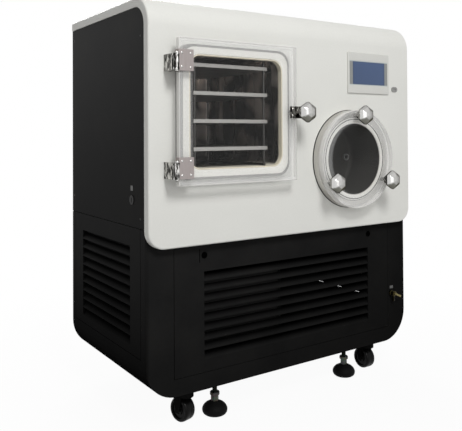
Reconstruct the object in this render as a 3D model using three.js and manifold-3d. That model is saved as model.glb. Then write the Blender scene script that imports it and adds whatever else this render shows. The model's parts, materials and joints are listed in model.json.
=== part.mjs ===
// Pilot freeze dryer: a steel cabinet with a one-piece hood, a shelf chamber behind a clear hinged door,
// a round cold trap behind a clear lift-off disc, a touch panel, a drain valve, castors and levelling feet.
// Millimetres. X runs left to right, Y front to back and Z up. The floor is Z = 0.

import * as THREE from 'three';
import { mergeVertices } from 'three/addons/utils/BufferGeometryUtils.js';
import Module from 'manifold-3d';

const wasm = await Module();
wasm.setup();

// ---- Driving dimensions ------------------------------------------------------------------------------

// Cabinet body
const cabinetWidth = 1140;
const cabinetDepth = 607;
const cabinetHeight = 1199;        // from its underside, without the hood
const groundClearance = 110;       // floor to underside
const sheet = 3;                   // thickness of the steel skins
const baseCornerRadius = 112;      // lower long edges, rounded as seen from the front
const waistHeight = 519;           // seam between the lower and upper side skins
const deckHeight = 505;            // underside of the inner deck
const sidePost = 30;               // width of the corner posts beside the lower side panels
const sideSill = 125;              // height of the sill below the lower side panels
const reveal = 1.5;                // visible gap round a removable panel
const touch = 0.3;                 // gap between pieces that bear on each other
const running = 0.5;               // gap round a turning pin or stud

// Hood
const hoodLip = 29;                // how far it stands in front of and above the body
const hoodSkin = 4;
const hoodOverhang = 2;            // beyond the body at each side
const hoodBend = 92;               // outside bend radius from front to top
const hoodCorner = 55;             // lower corner radius, seen from the front
const hoodDrop = 461;              // height of its lower edge above the underside
const neckClearance = 1;           // round what passes through it

// Drying chamber and its door
const chamberInset = 302;          // centre of the opening from the left side of the cabinet
const chamberHeight = 875;         // centre of the opening above the underside
const openingWidth = 355;
const openingHeight = 349;
const openingRadius = 38;
const chamberWall = 5;
const flangeMargin = 33;           // flange width round the opening
const flangeProud = 27;            // flange face in front of the hood
const sealThickness = 2.4;
const sealWidth = 22;
const doorThickness = 20;
const doorOverlap = 16;            // door edge beyond the flange edge

// Shelves
const shelfCount = 4;
const shelfPitch = 88;
const shelfFloorGap = 59.5;        // chamber floor to the middle of the lowest shelf
const shelfThickness = 12;
const shelfSideGap = 33.5;         // shelf end to the chamber wall
const shelfDepth = 370;
const shelfSetback = 34;           // front edge behind the flange face
const rodRadius = 4;
const rodInset = 9;                // rod axis from the shelf edge
const collarHeight = 4;
const collarRadius = 7;
const railHeight = 8;
const pipeRadius = 8;
const pipeSpacing = 90;
const stubRadius = 5;
const pipeGap = 24;                // shelf rear edge to pipe axis
const pipeWallGap = 12;            // pipe axis to the rear wall of the chamber

// Hinges
const hingeSpan = 322;             // between hinge centres
const hingeDrop = 15;              // their middle below the middle of the door
const hingeReach = 14;             // pin axis from the door edge
const hingeStandoff = 60;          // pin axis in front of the hood
const bracketHeight = 50;
const bracketThickness = 5;
const bracketLeft = 12;            // bracket plate to the left of the pin axis
const bracketRight = 12;
const earThickness = 8;
const earRadius = 8.5;
const pinRadius = 4;
const pinHeadRadius = 6.5;
const pinHeadHeight = 5;
const leafHeight = 65;
const leafRise = 7;                // middle of the leaf above the middle of its pin
const leafLength = 47;             // on the face of the door
const leafThickness = 5;
const leafLegThickness = 4;
const leafLegDepth = 18;

// Clamping knobs of both doors
const knobRadius = 36;             // to the six corners, one of which points up
const knobCornerLoss = 1.6;        // taken off each corner by its rounding
const knobDepth = 32;
const knobCollarRadius = 14;
const knobFaceGap = 22;            // door face to the back of the knob
const studRadius = 6;
const studEngagement = 16;         // stud tip behind the flange or boss face
const clampReach = 18.5;           // clamp axis beyond the free edge of the door
const clampRise = 3;               // clamp axis above the middle of the door
const lugThickness = 6;
const lugHeight = 40;
const lugGrip = 32;                // lug length on the face of the door
const lugLegThickness = 4;
const bossRadius = 14;
const bossHeight = 29;             // in front of the hood
const bossClearance = 2.5;         // round the stud, so that it swings out with the door

// Cold trap
const trapInset = 322;             // axis from the right side of the cabinet
const trapHeight = 714;            // axis above the underside
const trapRadius = 128;
const trapWall = 5;
const trapDepth = 150;             // inside, from the flange face
const trapFlangeRadius = 177;
const trapSealWidth = 18.5;
const trapKnobCircle = 158;        // radius of the circle that the knobs stand on
const trapKnobCount = 3;
const portRadius = 13;
const portBore = 9;
const portLength = 8;
const portOffset = 100;

// Touch panel and data port
const panelInset = 222;            // middle of the bezel from the right side of the cabinet
const panelHeight = 1031;
const bezelWidth = 217;
const bezelHeight = 152;
const bezelRadius = 4;
const bezelProud = 6;
const bezelHousing = 16;           // depth of the housing behind the hood face
const housingMargin = 12;
const screenWidth = 200;
const screenHeight = 90;
const screenRecess = 1;
const screenThickness = 2;
const dataPortInset = 79;          // from the right side of the cabinet
const dataPortHeight = 976;
const dataPortWidth = 32;
const dataPortTall = 20;
const dataPortProud = 3;
const dataPortStem = 8;

// Louvred panels
const louvrePitch = 31;
const louvreDrop = 20;             // height of one blade
const louvreDepth = 14;
const bladeThickness = 2;
const trayDepth = 16;              // folded edge of a removable panel
const frontPanelMarginLeft = 100;  // to the side of the cabinet
const frontPanelMarginRight = 92;
const frontPanelBottom = 55;
const frontLouvreMargin = 108;     // from the end of the front panel, where the latches stand
const frontLouvreCount = 9;
const frontLouvreTop = 372;
const sideLouvreWidth = 399;
const sideLouvreCount = 10;
const sideLouvreTop = 460;
const rearLouvreWidth = 560;
const rearLouvreCount = 8;
const rearLouvreTop = 420;

// Quarter-turn latches
const latchRadius = 10;
const latchHead = 3;
const latchSlotWidth = 4;
const latchShaft = 5;
const latchCamLength = 24;
const latchCamWidth = 12;
const latchCamThickness = 3;
const frontLatchHeight = 424;
const sideLatchRadius = 15;
const sideLatchHead = 1.7;
const sideLatchY = 88;
const sideLatchHeight = 604;

// Drain valve
const valveInset = 76;             // from the right side of the cabinet
const valveHeight = 183;
const valveNippleRadius = 6;
const valveNutRadius = 11;
const valveNutLength = 7;
const valveBodyRadius = 9;
const valveBodyLength = 15;
const valveOutletRadius = 5;
const valveOutletLength = 20;
const leverLength = 34;
const leverWidth = 7;
const leverThickness = 2.5;
const leverTilt = -0.42;           // radians below level

// Cable gland on the rear panel
const glandInset = 150;            // from the left side of the cabinet
const glandHeight = 200;
const glandRadius = 15;
const glandBore = 7;
const glandReach = 18;

// Castors
const castorInsetLeft = 170;       // front swivel axis from the left side of the cabinet
const castorInsetRight = 153;
const castorInsetRear = 230;       // rear swivel axes from the sides
const castorSetback = 55;          // swivel axis from the front and rear
const castorTrail = 14;
const castorTurns = [15, 0, 0, 0]; // degrees about each swivel axis, as the castors have come to rest
const wheelRadius = 39;
const wheelWidth = 42;
const wheelRounding = 6;
const wheelBore = 6;
const wheelSides = 24;             // facets round the tread, one of them flat on the floor
const forkThickness = 3;
const forkWidth = 34;
const forkGap = 2;                 // between wheel and fork
const swivelRadius = 26;
const mountPlateWidth = 74;
const mountPlateDepth = 66;
const mountPlate = 4;
const kingpinRadius = 6;
const kingpinLength = 20;

// Levelling feet
const footInset = 279;             // front stud axes from the sides of the cabinet
const footInsetRear = 340;
const footSetback = 53;
const padRadius = 42;
const padHeight = 42;
const footStudRadius = 8;
const footStudRise = 42;           // end of the stud above the underside
const footNutRadius = 13.5;
const footNutHeight = 20;
const footFlangeRadius = 16;
const footFlangeHeight = 10;

// Machinery behind the louvres
const compressorInset = 320;       // axis from the right side of the cabinet
const compressorY = 300;
const compressorRadius = 105;
const compressorHeight = 270;
const condenserInset = 400;        // middle from the left side of the cabinet
const condenserY = 100;
const condenserWidth = 340;
const condenserHeight = 330;
const condenserDepth = 60;
const condenserTubes = 9;
const condenserFinRecess = 5;      // of the fins behind the edges of the end plates
const condenserBendReach = 18;     // of the tube bends beyond the end plate
const condenserBendInset = 8;      // from the front edge of the end plate
const condenserBendSize = 10;

// ---- Places that follow from them --------------------------------------------------------------------

const halfWidth = cabinetWidth / 2;
const chamberX = -halfWidth + chamberInset;
const trapX = halfWidth - trapInset;
const panelX = halfWidth - panelInset;
const dataPortX = halfWidth - dataPortInset;
const valveX = halfWidth - valveInset;
const glandX = -halfWidth + glandInset;
const compressorX = halfWidth - compressorInset;
const condenserX = -halfWidth + condenserInset;
const frontPanelWidth = cabinetWidth - frontPanelMarginLeft - frontPanelMarginRight;
const frontPanelX = (frontPanelMarginLeft - frontPanelMarginRight) / 2;
const frontLouvreWidth = frontPanelWidth - 2 * frontLouvreMargin;
const shelfWidth = openingWidth - 2 * shelfSideGap;
const lowestShelf = chamberHeight - openingHeight / 2 + shelfFloorGap;
const chamberDepth = shelfSetback + shelfDepth + pipeGap + pipeWallGap;
const flangeFace = -(hoodLip + flangeProud);
const doorBack = flangeFace - sealThickness - 2 * touch;
const doorFront = doorBack - doorThickness;
const knobBack = doorFront - knobFaceGap;
const frontReach = knobBack - knobDepth;
const frontPlane = -(cabinetDepth + glandReach + frontReach) / 2;   // centres the whole depth on Y = 0
const flangeWidth = openingWidth + 2 * flangeMargin;
const flangeHeight = openingHeight + 2 * flangeMargin;
const doorWidth = flangeWidth + 2 * doorOverlap;
const doorHeight = flangeHeight + 2 * doorOverlap;
const hingeX = chamberX - doorWidth / 2 - hingeReach;
const hingeY = -hoodLip - hingeStandoff;
const clampX = chamberX + doorWidth / 2 + clampReach;
const clampHeight = chamberHeight + clampRise;
const round = 2 * Math.PI;

// ---- Making and joining solids -----------------------------------------------------------------------

// Turns a closed three.js geometry into a manifold solid, with its faces pointing outwards.
function solid(geometry) {
  const bare = geometry.clone();
  bare.deleteAttribute('normal');
  bare.deleteAttribute('uv');
  const merged = mergeVertices(bare, 1e-4);
  const place = merged.attributes.position.array;
  const index = merged.index.array;
  const corners = [];
  let volume = 0;
  const a = new THREE.Vector3();
  const b = new THREE.Vector3();
  const c = new THREE.Vector3();
  for (let i = 0; i < index.length; i += 3) {
    const [p, q, r] = [index[i], index[i + 1], index[i + 2]];
    if (p === q || q === r || r === p) continue;
    corners.push(p, q, r);
    a.fromArray(place, 3 * p);
    b.fromArray(place, 3 * q);
    c.fromArray(place, 3 * r);
    volume += a.dot(b.cross(c));
  }
  if (volume < 0) corners.reverse();
  return new wasm.Manifold(new wasm.Mesh({
    numProp: 3,
    vertProperties: new Float32Array(place),
    triVerts: new Uint32Array(corners),
  }));
}

// A block between two corners.
function block(x0, x1, y0, y1, z0, z1) {
  const geometry = new THREE.BoxGeometry(x1 - x0, y1 - y0, z1 - z0);
  return solid(geometry.translate((x0 + x1) / 2, (y0 + y1) / 2, (z0 + z1) / 2));
}

// A shape drawn in X and Z, from one Y to another.
function alongY(shape, y0, y1, curveSegments = 3) {
  const geometry = new THREE.ExtrudeGeometry(shape, { depth: y1 - y0, bevelEnabled: false, curveSegments });
  return solid(geometry.rotateX(Math.PI / 2).translate(0, y1, 0));
}

// A shape drawn in Y and Z, from one X to another.
function alongX(shape, x0, x1, curveSegments = 3) {
  const geometry = new THREE.ExtrudeGeometry(shape, { depth: x1 - x0, bevelEnabled: false, curveSegments });
  const axes = new THREE.Matrix4().makeBasis(
    new THREE.Vector3(0, 1, 0),
    new THREE.Vector3(0, 0, 1),
    new THREE.Vector3(1, 0, 0),
  );
  return solid(geometry.applyMatrix4(axes).translate(x0, 0, 0));
}

// A shape drawn in X and Y, from one Z to another.
function alongZ(shape, z0, z1, curveSegments = 3) {
  const geometry = new THREE.ExtrudeGeometry(shape, { depth: z1 - z0, bevelEnabled: false, curveSegments });
  return solid(geometry.translate(0, 0, z0));
}

// A profile of [radius, height] points turned about the Z axis.
function turned(profile, segments = 24) {
  const points = profile.map(([radius, height]) => new THREE.Vector2(radius, height));
  return solid(new THREE.LatheGeometry(points, segments).rotateX(Math.PI / 2));
}

// A disc or rod about Z, Y or X.
function rodZ(radius, z0, z1, segments = 16) {
  return turned([[0, z0], [radius, z0], [radius, z1], [0, z1]], segments);
}

function rodY(radius, y0, y1, segments = 16) {
  return rodZ(radius, -y1, -y0, segments).rotate([90, 0, 0]);
}

function rodX(radius, x0, x1, segments = 16) {
  return rodZ(radius, x0, x1, segments).rotate([0, 90, 0]);
}

function joined(...parts) {
  return parts.reduce((sum, part) => sum.add(part));
}

function roundedRectangle(width, height, radius, x = 0, z = 0) {
  const shape = new THREE.Shape();
  const w = width / 2 - radius;
  const h = height / 2 - radius;
  shape.absarc(x + w, z + h, radius, 0, Math.PI / 2);
  shape.absarc(x - w, z + h, radius, Math.PI / 2, Math.PI);
  shape.absarc(x - w, z - h, radius, Math.PI, 1.5 * Math.PI);
  shape.absarc(x + w, z - h, radius, 1.5 * Math.PI, round);
  shape.closePath();
  return shape;
}

// An upright outline with square upper and rounded lower corners.
function tubOutline(half, bottom, top, radius) {
  const shape = new THREE.Shape();
  shape.moveTo(-half, top);
  shape.lineTo(-half, bottom + radius);
  shape.absarc(-half + radius, bottom + radius, radius, Math.PI, 1.5 * Math.PI);
  shape.absarc(half - radius, bottom + radius, radius, 1.5 * Math.PI, round);
  shape.lineTo(half, top);
  shape.closePath();
  return shape;
}

function polygon(points) {
  return new THREE.Shape(points.map(([x, y]) => new THREE.Vector2(x, y)));
}

// The cabinet stands in a group whose origin is the middle of its front plane, at its underside.
const dryer = new THREE.Group();
const cabinet = new THREE.Group();
cabinet.position.set(0, frontPlane, groundClearance);
dryer.add(cabinet);

function finish(color, roughness, metalness) {
  return () => new THREE.MeshStandardMaterial({ color, roughness, metalness, flatShading: true });
}

const whitePaint = finish(0xdedfda, 0.42, 0);
const blackPaint = finish(0x222222, 0.45, 0.1);
const stainless = finish(0xb9b9b6, 0.25, 1);
const polished = finish(0xd5d5d2, 0.1, 1);
const galvanised = finish(0x8f8f8a, 0.45, 0.9);
const brass = finish(0xb08d45, 0.3, 1);
const silicone = finish(0xe8e6e0, 0.6, 0);
const rubber = finish(0x141414, 0.7, 0);
const blackPlastic = finish(0x1b1b1b, 0.5, 0);
const greyPlastic = finish(0xc4c5c0, 0.5, 0);
const displayGlass = finish(0x4b5f86, 0.2, 0);

function clearAcrylic() {
  return new THREE.MeshStandardMaterial({
    color: 0xf2f6f5,
    roughness: 0.05,
    metalness: 0,
    transparent: true,
    opacity: 0.25,
    flatShading: true,
  });
}

// Adds one named piece to the cabinet.
function piece(name, shape, material, x = 0, y = 0, z = 0, turn = 0) {
  const made = shape.getMesh();
  const geometry = new THREE.BufferGeometry();
  geometry.setAttribute('position', new THREE.BufferAttribute(made.vertProperties, 3));
  geometry.setIndex(new THREE.BufferAttribute(made.triVerts, 1));
  const mesh = new THREE.Mesh(geometry, material());
  mesh.name = name;
  mesh.position.set(x, y, z);
  mesh.rotation.z = turn;
  cabinet.add(mesh);
}

// ---- Cabinet -----------------------------------------------------------------------------------------

const castorXs = [
  -halfWidth + castorInsetLeft, halfWidth - castorInsetRight,
  -halfWidth + castorInsetRear, halfWidth - castorInsetRear,
];
const castorYs = [castorSetback, cabinetDepth - castorSetback];
const footXs = [
  -halfWidth + footInset, halfWidth - footInset,
  -halfWidth + footInsetRear, halfWidth - footInsetRear,
];
const footYs = [footSetback, cabinetDepth - footSetback];
const corners = ['front_left', 'front_right', 'rear_left', 'rear_right'];

// Calls make(name, x, y, i) at each of four corners. The front and rear pairs may share their xs.
function atCorners(xs, ys, make) {
  corners.forEach((name, i) => make(name, xs[i % xs.length], ys[i >> 1], i));
}

const frontPanelHeight = hoodDrop - reveal - frontPanelBottom;

function baseFrame() {
  const inner = halfWidth - sheet;
  let frame = alongY(tubOutline(halfWidth, 0, waistHeight, baseCornerRadius), 0, cabinetDepth, 6);
  const cavity = tubOutline(inner, sheet, waistHeight + sheet, baseCornerRadius - sheet);
  frame = frame.subtract(alongY(cavity, sheet, cabinetDepth + sheet, 6));
  const panelHalf = frontPanelWidth / 2 + reveal;
  frame = frame.subtract(block(
    frontPanelX - panelHalf, frontPanelX + panelHalf, -sheet, 2 * sheet,
    frontPanelBottom - reveal, hoodDrop,
  ));
  for (const side of [-1, 1]) {
    const edges = [side * (inner - sheet), side * (halfWidth + sheet)].sort((p, q) => p - q);
    frame = frame.subtract(block(...edges, sidePost, cabinetDepth - sidePost, sideSill, waistHeight + sheet));
  }
  const valveHole = rodY(valveNippleRadius + running, -sheet, 2 * sheet);
  frame = frame.subtract(valveHole.translate([valveX, 0, valveHeight]));
  atCorners(castorXs, castorYs, (name, x, y) => {
    const half = [mountPlateWidth / 2, mountPlateDepth / 2];
    frame = frame.add(block(x - half[0], x + half[0], y - half[1], y + half[1], -mountPlate, sheet / 2));
    const hole = rodZ(kingpinRadius + running, -2 * mountPlate, 2 * sheet);
    frame = frame.subtract(hole.translate([x, y, 0]));
  });
  atCorners(footXs, footYs, (name, x, y) => {
    const hole = rodZ(footStudRadius + running, -sheet, 2 * sheet);
    frame = frame.subtract(hole.translate([x, y, 0]));
  });
  piece('base_frame', frame, blackPaint);
}

// The deck carries the chamber side of the machine, and the bulkhead behind the hood carries both vessels.
function innerFrame() {
  const half = halfWidth - sheet - touch;
  const front = sheet + touch;
  const back = cabinetDepth - sheet - touch;
  const bulkheadTop = cabinetHeight + hoodLip - hoodBend - touch;
  let frame = block(-half, half, front, back, deckHeight, deckHeight + sheet);
  frame = frame.add(block(-half, half, front, front + sheet, deckHeight, bulkheadTop));
  const neck = 2 * (chamberWall + neckClearance);
  const neckRadius = openingRadius + chamberWall + neckClearance;
  const window = roundedRectangle(openingWidth + neck, openingHeight + neck, neckRadius);
  frame = frame.subtract(alongY(window, 0, 3 * sheet).translate([chamberX, 0, chamberHeight]));
  const bore = rodY(trapRadius + trapWall + neckClearance, 0, 3 * sheet, 40);
  frame = frame.subtract(bore.translate([trapX, 0, trapHeight]));
  const cradleTop = chamberHeight - openingHeight / 2 - chamberWall - touch;
  for (const side of [-1, 1]) {
    const x = chamberX + side * openingWidth / 4;
    frame = frame.add(block(x - sheet, x + sheet, front, back / 2, deckHeight, cradleTop));
  }
  piece('inner_frame', frame, galvanised);
}

// One-piece hood: the front, the bend and the top, with edges folded back by the depth of the lip.
function hoodBand(outer, inner, rear) {
  const centreY = hoodBend - hoodLip;
  const centreZ = cabinetHeight + hoodLip - hoodBend;
  const low = hoodDrop - hoodLip;
  const shape = new THREE.Shape();
  shape.moveTo(-hoodLip + outer, low);
  shape.lineTo(-hoodLip + outer, centreZ);
  shape.absarc(centreY, centreZ, hoodBend - outer, Math.PI, Math.PI / 2, true);
  shape.lineTo(rear, cabinetHeight + hoodLip - outer);
  shape.lineTo(rear, cabinetHeight + hoodLip - inner);
  shape.absarc(centreY, centreZ, hoodBend - inner, Math.PI / 2, Math.PI, false);
  shape.lineTo(-hoodLip + inner, low);
  shape.closePath();
  return shape;
}

function hood() {
  const half = halfWidth + hoodOverhang;
  const top = cabinetHeight + 2 * hoodLip;
  const before = -2 * hoodLip;
  const behind = cabinetDepth + hoodLip;
  let shell = alongX(hoodBand(0, hoodLip - touch, cabinetDepth), -half, half, 6);
  shell = shell.intersect(alongY(tubOutline(half, hoodDrop, top, hoodCorner), before, behind, 4));
  const innerHalf = half - hoodSkin;
  let hollow = alongX(hoodBand(hoodSkin, 2 * hoodLip, behind), -innerHalf, innerHalf, 6);
  const innerOutline = tubOutline(innerHalf, hoodDrop + hoodSkin, top, hoodCorner - hoodSkin);
  hollow = hollow.intersect(alongY(innerOutline, before, behind, 4));
  shell = shell.subtract(hollow);
  const neck = 2 * (chamberWall + neckClearance);
  const neckRadius = openingRadius + chamberWall + neckClearance;
  const window = roundedRectangle(openingWidth + neck, openingHeight + neck, neckRadius);
  shell = shell.subtract(alongY(window, before, 0).translate([chamberX, 0, chamberHeight]));
  const bore = rodY(trapRadius + trapWall + neckClearance, before, 0, 40);
  shell = shell.subtract(bore.translate([trapX, 0, trapHeight]));
  const housing = roundedRectangle(
    bezelWidth - 2 * housingMargin + 2 * neckClearance,
    bezelHeight - 2 * housingMargin + 2 * neckClearance,
    bezelRadius,
  );
  shell = shell.subtract(alongY(housing, before, 0, 2).translate([panelX, 0, panelHeight]));
  const portHole = rodY(dataPortTall / 2 - 2 * neckClearance, before, 0);
  shell = shell.subtract(portHole.translate([dataPortX, 0, dataPortHeight]));
  piece('hood', shell, whitePaint);
}

// ---- Panels ------------------------------------------------------------------------------------------

// A sheet with folded edges and a window of inclined blades. The outer face is Y = 0, facing -Y;
// X = 0 is its middle and Z = 0 its lower edge.
function louvredPanel(width, height, windowWidth, count, windowTop, fold) {
  const half = width / 2;
  const windowHalf = windowWidth / 2;
  const windowBottom = windowTop - count * louvrePitch;
  let panel = block(-half, half, 0, fold, 0, height);
  panel = panel.subtract(block(-half + sheet, half - sheet, sheet, fold + sheet, sheet, height - sheet));
  panel = panel.subtract(block(-windowHalf, windowHalf, -sheet, 2 * sheet, windowBottom, windowTop));
  const blade = alongX(polygon([
    [0, 0],
    [bladeThickness, 0],
    [louvreDepth, louvreDrop - bladeThickness],
    [louvreDepth, louvreDrop],
    [louvreDepth - bladeThickness, louvreDrop],
    [0, bladeThickness],
  ]), -windowHalf - 1, windowHalf + 1);
  for (const side of [-1, 1]) {
    const edges = [side * windowHalf, side * (windowHalf + sheet)].sort((p, q) => p - q);
    const cheek = block(...edges, sheet / 2, louvreDepth, windowBottom - sheet, windowTop + sheet);
    panel = panel.add(cheek);
  }
  for (let i = 0; i < count; i++) {
    panel = panel.add(blade.translate([0, 0, windowBottom + i * louvrePitch]));
  }
  return panel;
}

function frontPanel() {
  const bottom = frontPanelBottom;
  const top = frontLouvreTop - bottom;
  let panel = louvredPanel(
    frontPanelWidth, frontPanelHeight, frontLouvreWidth, frontLouvreCount, top, trayDepth,
  );
  for (const side of [-1, 1]) {
    const hole = rodY(latchShaft + running, -sheet, 2 * sheet);
    panel = panel.subtract(hole.translate([side * frontLouvreWidth / 2, 0, frontLatchHeight - bottom]));
  }
  piece('front_panel', panel, blackPaint, frontPanelX, 0, bottom);
}

function lowerSidePanels() {
  const width = cabinetDepth - 2 * sidePost - 2 * reveal;
  const bottom = sideSill + reveal;
  const height = waistHeight - bottom;
  for (const [name, side] of [['left', -1], ['right', 1]]) {
    const panel = louvredPanel(
      width, height, sideLouvreWidth, sideLouvreCount, sideLouvreTop - bottom, sheet,
    );
    const turn = side * Math.PI / 2;
    piece(`side_panel_lower_${name}`, panel, blackPaint, side * halfWidth, cabinetDepth / 2, bottom, turn);
  }
}

function upperSidePanels() {
  const top = cabinetHeight - touch;
  const bottom = waistHeight + reveal;
  const bend = hoodBend - hoodLip;
  const outline = new THREE.Shape();
  outline.moveTo(touch, bottom);
  outline.lineTo(cabinetDepth, bottom);
  outline.lineTo(cabinetDepth, top);
  outline.absarc(touch + bend, top - bend, bend, Math.PI / 2, Math.PI);
  outline.closePath();
  const left = alongX(outline, -halfWidth, -halfWidth + sheet, 6);
  const hole = rodX(latchShaft + running, -halfWidth - sheet, -halfWidth + 2 * sheet);
  const pierced = left.subtract(hole.translate([0, sideLatchY, sideLatchHeight]));
  piece('side_panel_upper_left', pierced, blackPaint);
  piece('side_panel_upper_right', alongX(outline, halfWidth - sheet, halfWidth, 6), blackPaint);
}

function rearPanel() {
  const half = halfWidth - sheet - touch;
  const bottom = sheet + touch;
  const top = cabinetHeight + hoodLip - hoodSkin - touch;
  const radius = baseCornerRadius - sheet - touch;
  const outline = tubOutline(half, bottom, top, radius);
  let panel = alongY(outline, cabinetDepth - sheet, cabinetDepth, 6);
  const windowHalf = rearLouvreWidth / 2;
  const windowBottom = rearLouvreTop - rearLouvreCount * louvrePitch;
  const ribs = louvredPanel(
    rearLouvreWidth + 4 * sheet, rearLouvreTop,
    rearLouvreWidth, rearLouvreCount, rearLouvreTop - sheet, sheet,
  );
  panel = panel.subtract(block(
    -windowHalf, windowHalf, cabinetDepth - 2 * sheet, cabinetDepth + sheet,
    windowBottom - sheet, rearLouvreTop - sheet,
  ));
  panel = panel.add(ribs.rotate([0, 0, 180]).translate([0, cabinetDepth, 0]).intersect(block(
    -half, half, 0, cabinetDepth, windowBottom - 2 * sheet, rearLouvreTop,
  )));
  const gland = rodY(glandRadius, cabinetDepth - sheet / 2, cabinetDepth + glandReach, 20);
  const bore = rodY(glandBore, cabinetDepth - 2 * sheet, cabinetDepth + 2 * glandReach);
  panel = panel.add(gland.translate([glandX, 0, glandHeight]));
  panel = panel.subtract(bore.translate([glandX, 0, glandHeight]));
  piece('rear_panel', panel, blackPaint);
}

// A quarter-turn latch about Y: a slotted round head outside, a shaft and a cam behind the panel.
function latch(headRadius, head, grip) {
  let part = rodY(headRadius, -head - touch, -touch, 20);
  part = part.add(rodY(latchShaft, -head / 2, grip + latchCamThickness, 12));
  const half = latchCamWidth / 2;
  part = part.add(block(-half, half, grip, grip + latchCamThickness, -half, latchCamLength));
  const slot = block(
    -latchSlotWidth / 2, latchSlotWidth / 2, -head - 1, -head / 2, -headRadius / 2, headRadius / 2,
  );
  return part.subtract(slot);
}

function latches() {
  const grip = sheet + touch;
  for (const [name, side] of [['left', -1], ['right', 1]]) {
    const x = frontPanelX + side * frontLouvreWidth / 2;
    piece(`front_latch_${name}`, latch(latchRadius, latchHead, grip), blackPlastic, x, 0, frontLatchHeight);
  }
  const sideLatch = latch(sideLatchRadius, sideLatchHead, grip);
  piece('side_latch', sideLatch, blackPlastic, -halfWidth, sideLatchY, sideLatchHeight, -Math.PI / 2);
}

// ---- Drying chamber ----------------------------------------------------------------------------------

function openingRing(margin, radiusGain = margin) {
  return roundedRectangle(openingWidth + 2 * margin, openingHeight + 2 * margin, openingRadius + radiusGain);
}

function dryingChamber() {
  const back = flangeFace + chamberDepth;
  let chamber = alongY(openingRing(flangeMargin, chamberWall), flangeFace, -hoodLip - touch);
  chamber = chamber.add(alongY(openingRing(chamberWall), flangeFace + 1, back + chamberWall));
  chamber = chamber.subtract(alongY(openingRing(0), flangeFace - 1, back));
  piece('drying_chamber', chamber, stainless, chamberX, 0, chamberHeight);
  const face = flangeFace - touch;
  let seal = alongY(openingRing(sealWidth + sheet, chamberWall), face - sealThickness, face);
  seal = seal.subtract(alongY(openingRing(sheet), face - 2 * sealThickness, face + 1));
  piece('chamber_seal', seal, silicone, chamberX, 0, chamberHeight);
}

const shelfFront = flangeFace + shelfSetback;
const shelfBack = shelfFront + shelfDepth;
const rodXs = [-shelfWidth / 2 + rodInset, shelfWidth / 2 - rodInset];
const rodYs = [shelfFront + rodInset, shelfBack - rodInset];

function shelves() {
  for (let i = 0; i < shelfCount; i++) {
    const half = [shelfWidth / 2, shelfThickness / 2];
    let shelf = block(-half[0], half[0], shelfFront, shelfBack, -half[1], half[1]);
    atCorners(rodXs, rodYs, (name, x, y) => {
      const hole = rodZ(rodRadius + running, -shelfThickness, shelfThickness, 12);
      shelf = shelf.subtract(hole.translate([x, y, 0]));
    });
    piece(`shelf_${i + 1}`, shelf, stainless, chamberX, 0, lowestShelf + i * shelfPitch);
  }
}

// Four rods with a collar under each shelf, tied by rails on the chamber floor.
function shelfRack() {
  const floor = chamberHeight - openingHeight / 2 + touch;
  const ceiling = chamberHeight + openingHeight / 2 - touch;
  const [left, right] = rodXs;
  const [front, rear] = rodYs;
  let rack = block(left - rodRadius, right + rodRadius, rear - rodRadius, rear + rodRadius,
    floor, floor + railHeight);
  for (const x of rodXs) {
    rack = rack.add(block(x - rodRadius, x + rodRadius, front - rodRadius, rear, floor, floor + railHeight));
  }
  atCorners(rodXs, rodYs, (name, x, y) => {
    rack = rack.add(rodZ(rodRadius, floor + railHeight / 2, ceiling, 8).translate([x, y, 0]));
    for (let i = 0; i < shelfCount; i++) {
      const under = lowestShelf + i * shelfPitch - shelfThickness / 2 - touch;
      rack = rack.add(rodZ(collarRadius, under - collarHeight, under, 8).translate([x, y, 0]));
    }
  });
  piece('shelf_rack', rack, stainless, chamberX);
}

// Upright heating pipes behind the shelves, one branch to each shelf and a tail into the rear wall.
function oilPipes() {
  const axisY = shelfBack + pipeGap;
  const back = flangeFace + chamberDepth - touch;
  const highest = lowestShelf + (shelfCount - 1) * shelfPitch;
  for (const [name, side] of [['supply', -1], ['return', 1]]) {
    let pipe = rodZ(pipeRadius, lowestShelf - 2 * pipeRadius, highest + 2 * pipeRadius, 10)
      .translate([0, axisY, 0]);
    for (let i = 0; i < shelfCount; i++) {
      const stub = rodY(stubRadius, shelfBack + touch, axisY, 8);
      pipe = pipe.add(stub.translate([0, 0, lowestShelf + i * shelfPitch]));
    }
    pipe = pipe.add(rodY(pipeRadius - 1, axisY, back, 10).translate([0, 0, highest]));
    piece(`oil_${name}_pipe`, pipe, galvanised, chamberX + side * pipeSpacing / 2);
  }
}

// ---- Door of the drying chamber ----------------------------------------------------------------------

function doorPanel() {
  const half = [doorWidth / 2, doorHeight / 2];
  const plate = block(-half[0], half[0], doorBack - doorThickness, doorBack, -half[1], half[1]);
  piece('door_panel', plate, clearAcrylic, chamberX, 0, chamberHeight);
}

// Each hinge is modelled about its pin, with the door on the +X side and the hood towards +Y.
function hingeBracket() {
  const seat = hingeStandoff - touch;
  const half = bracketHeight / 2;
  const earTop = [half - earThickness, half];
  const webFront = earRadius + running;
  let bracket = block(-bracketLeft, bracketRight, seat - bracketThickness, seat, -half, half);
  bracket = bracket.add(block(-bracketLeft, bracketThickness - bracketLeft, webFront, seat, -half, half));
  const ear = polygon([
    [earRadius, 0],
    [earRadius, seat - 1],
    [-bracketLeft, seat - 1],
    [-bracketLeft, webFront],
    [-earRadius, 0],
  ]);
  const eye = rodZ(earRadius, ...earTop, 20);
  const cheek = alongZ(ear, ...earTop).add(eye);
  bracket = joined(bracket, cheek, cheek.translate([0, 0, earThickness - bracketHeight]));
  return bracket.subtract(rodZ(pinRadius + running / 2, -bracketHeight, bracketHeight, 12));
}

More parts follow.
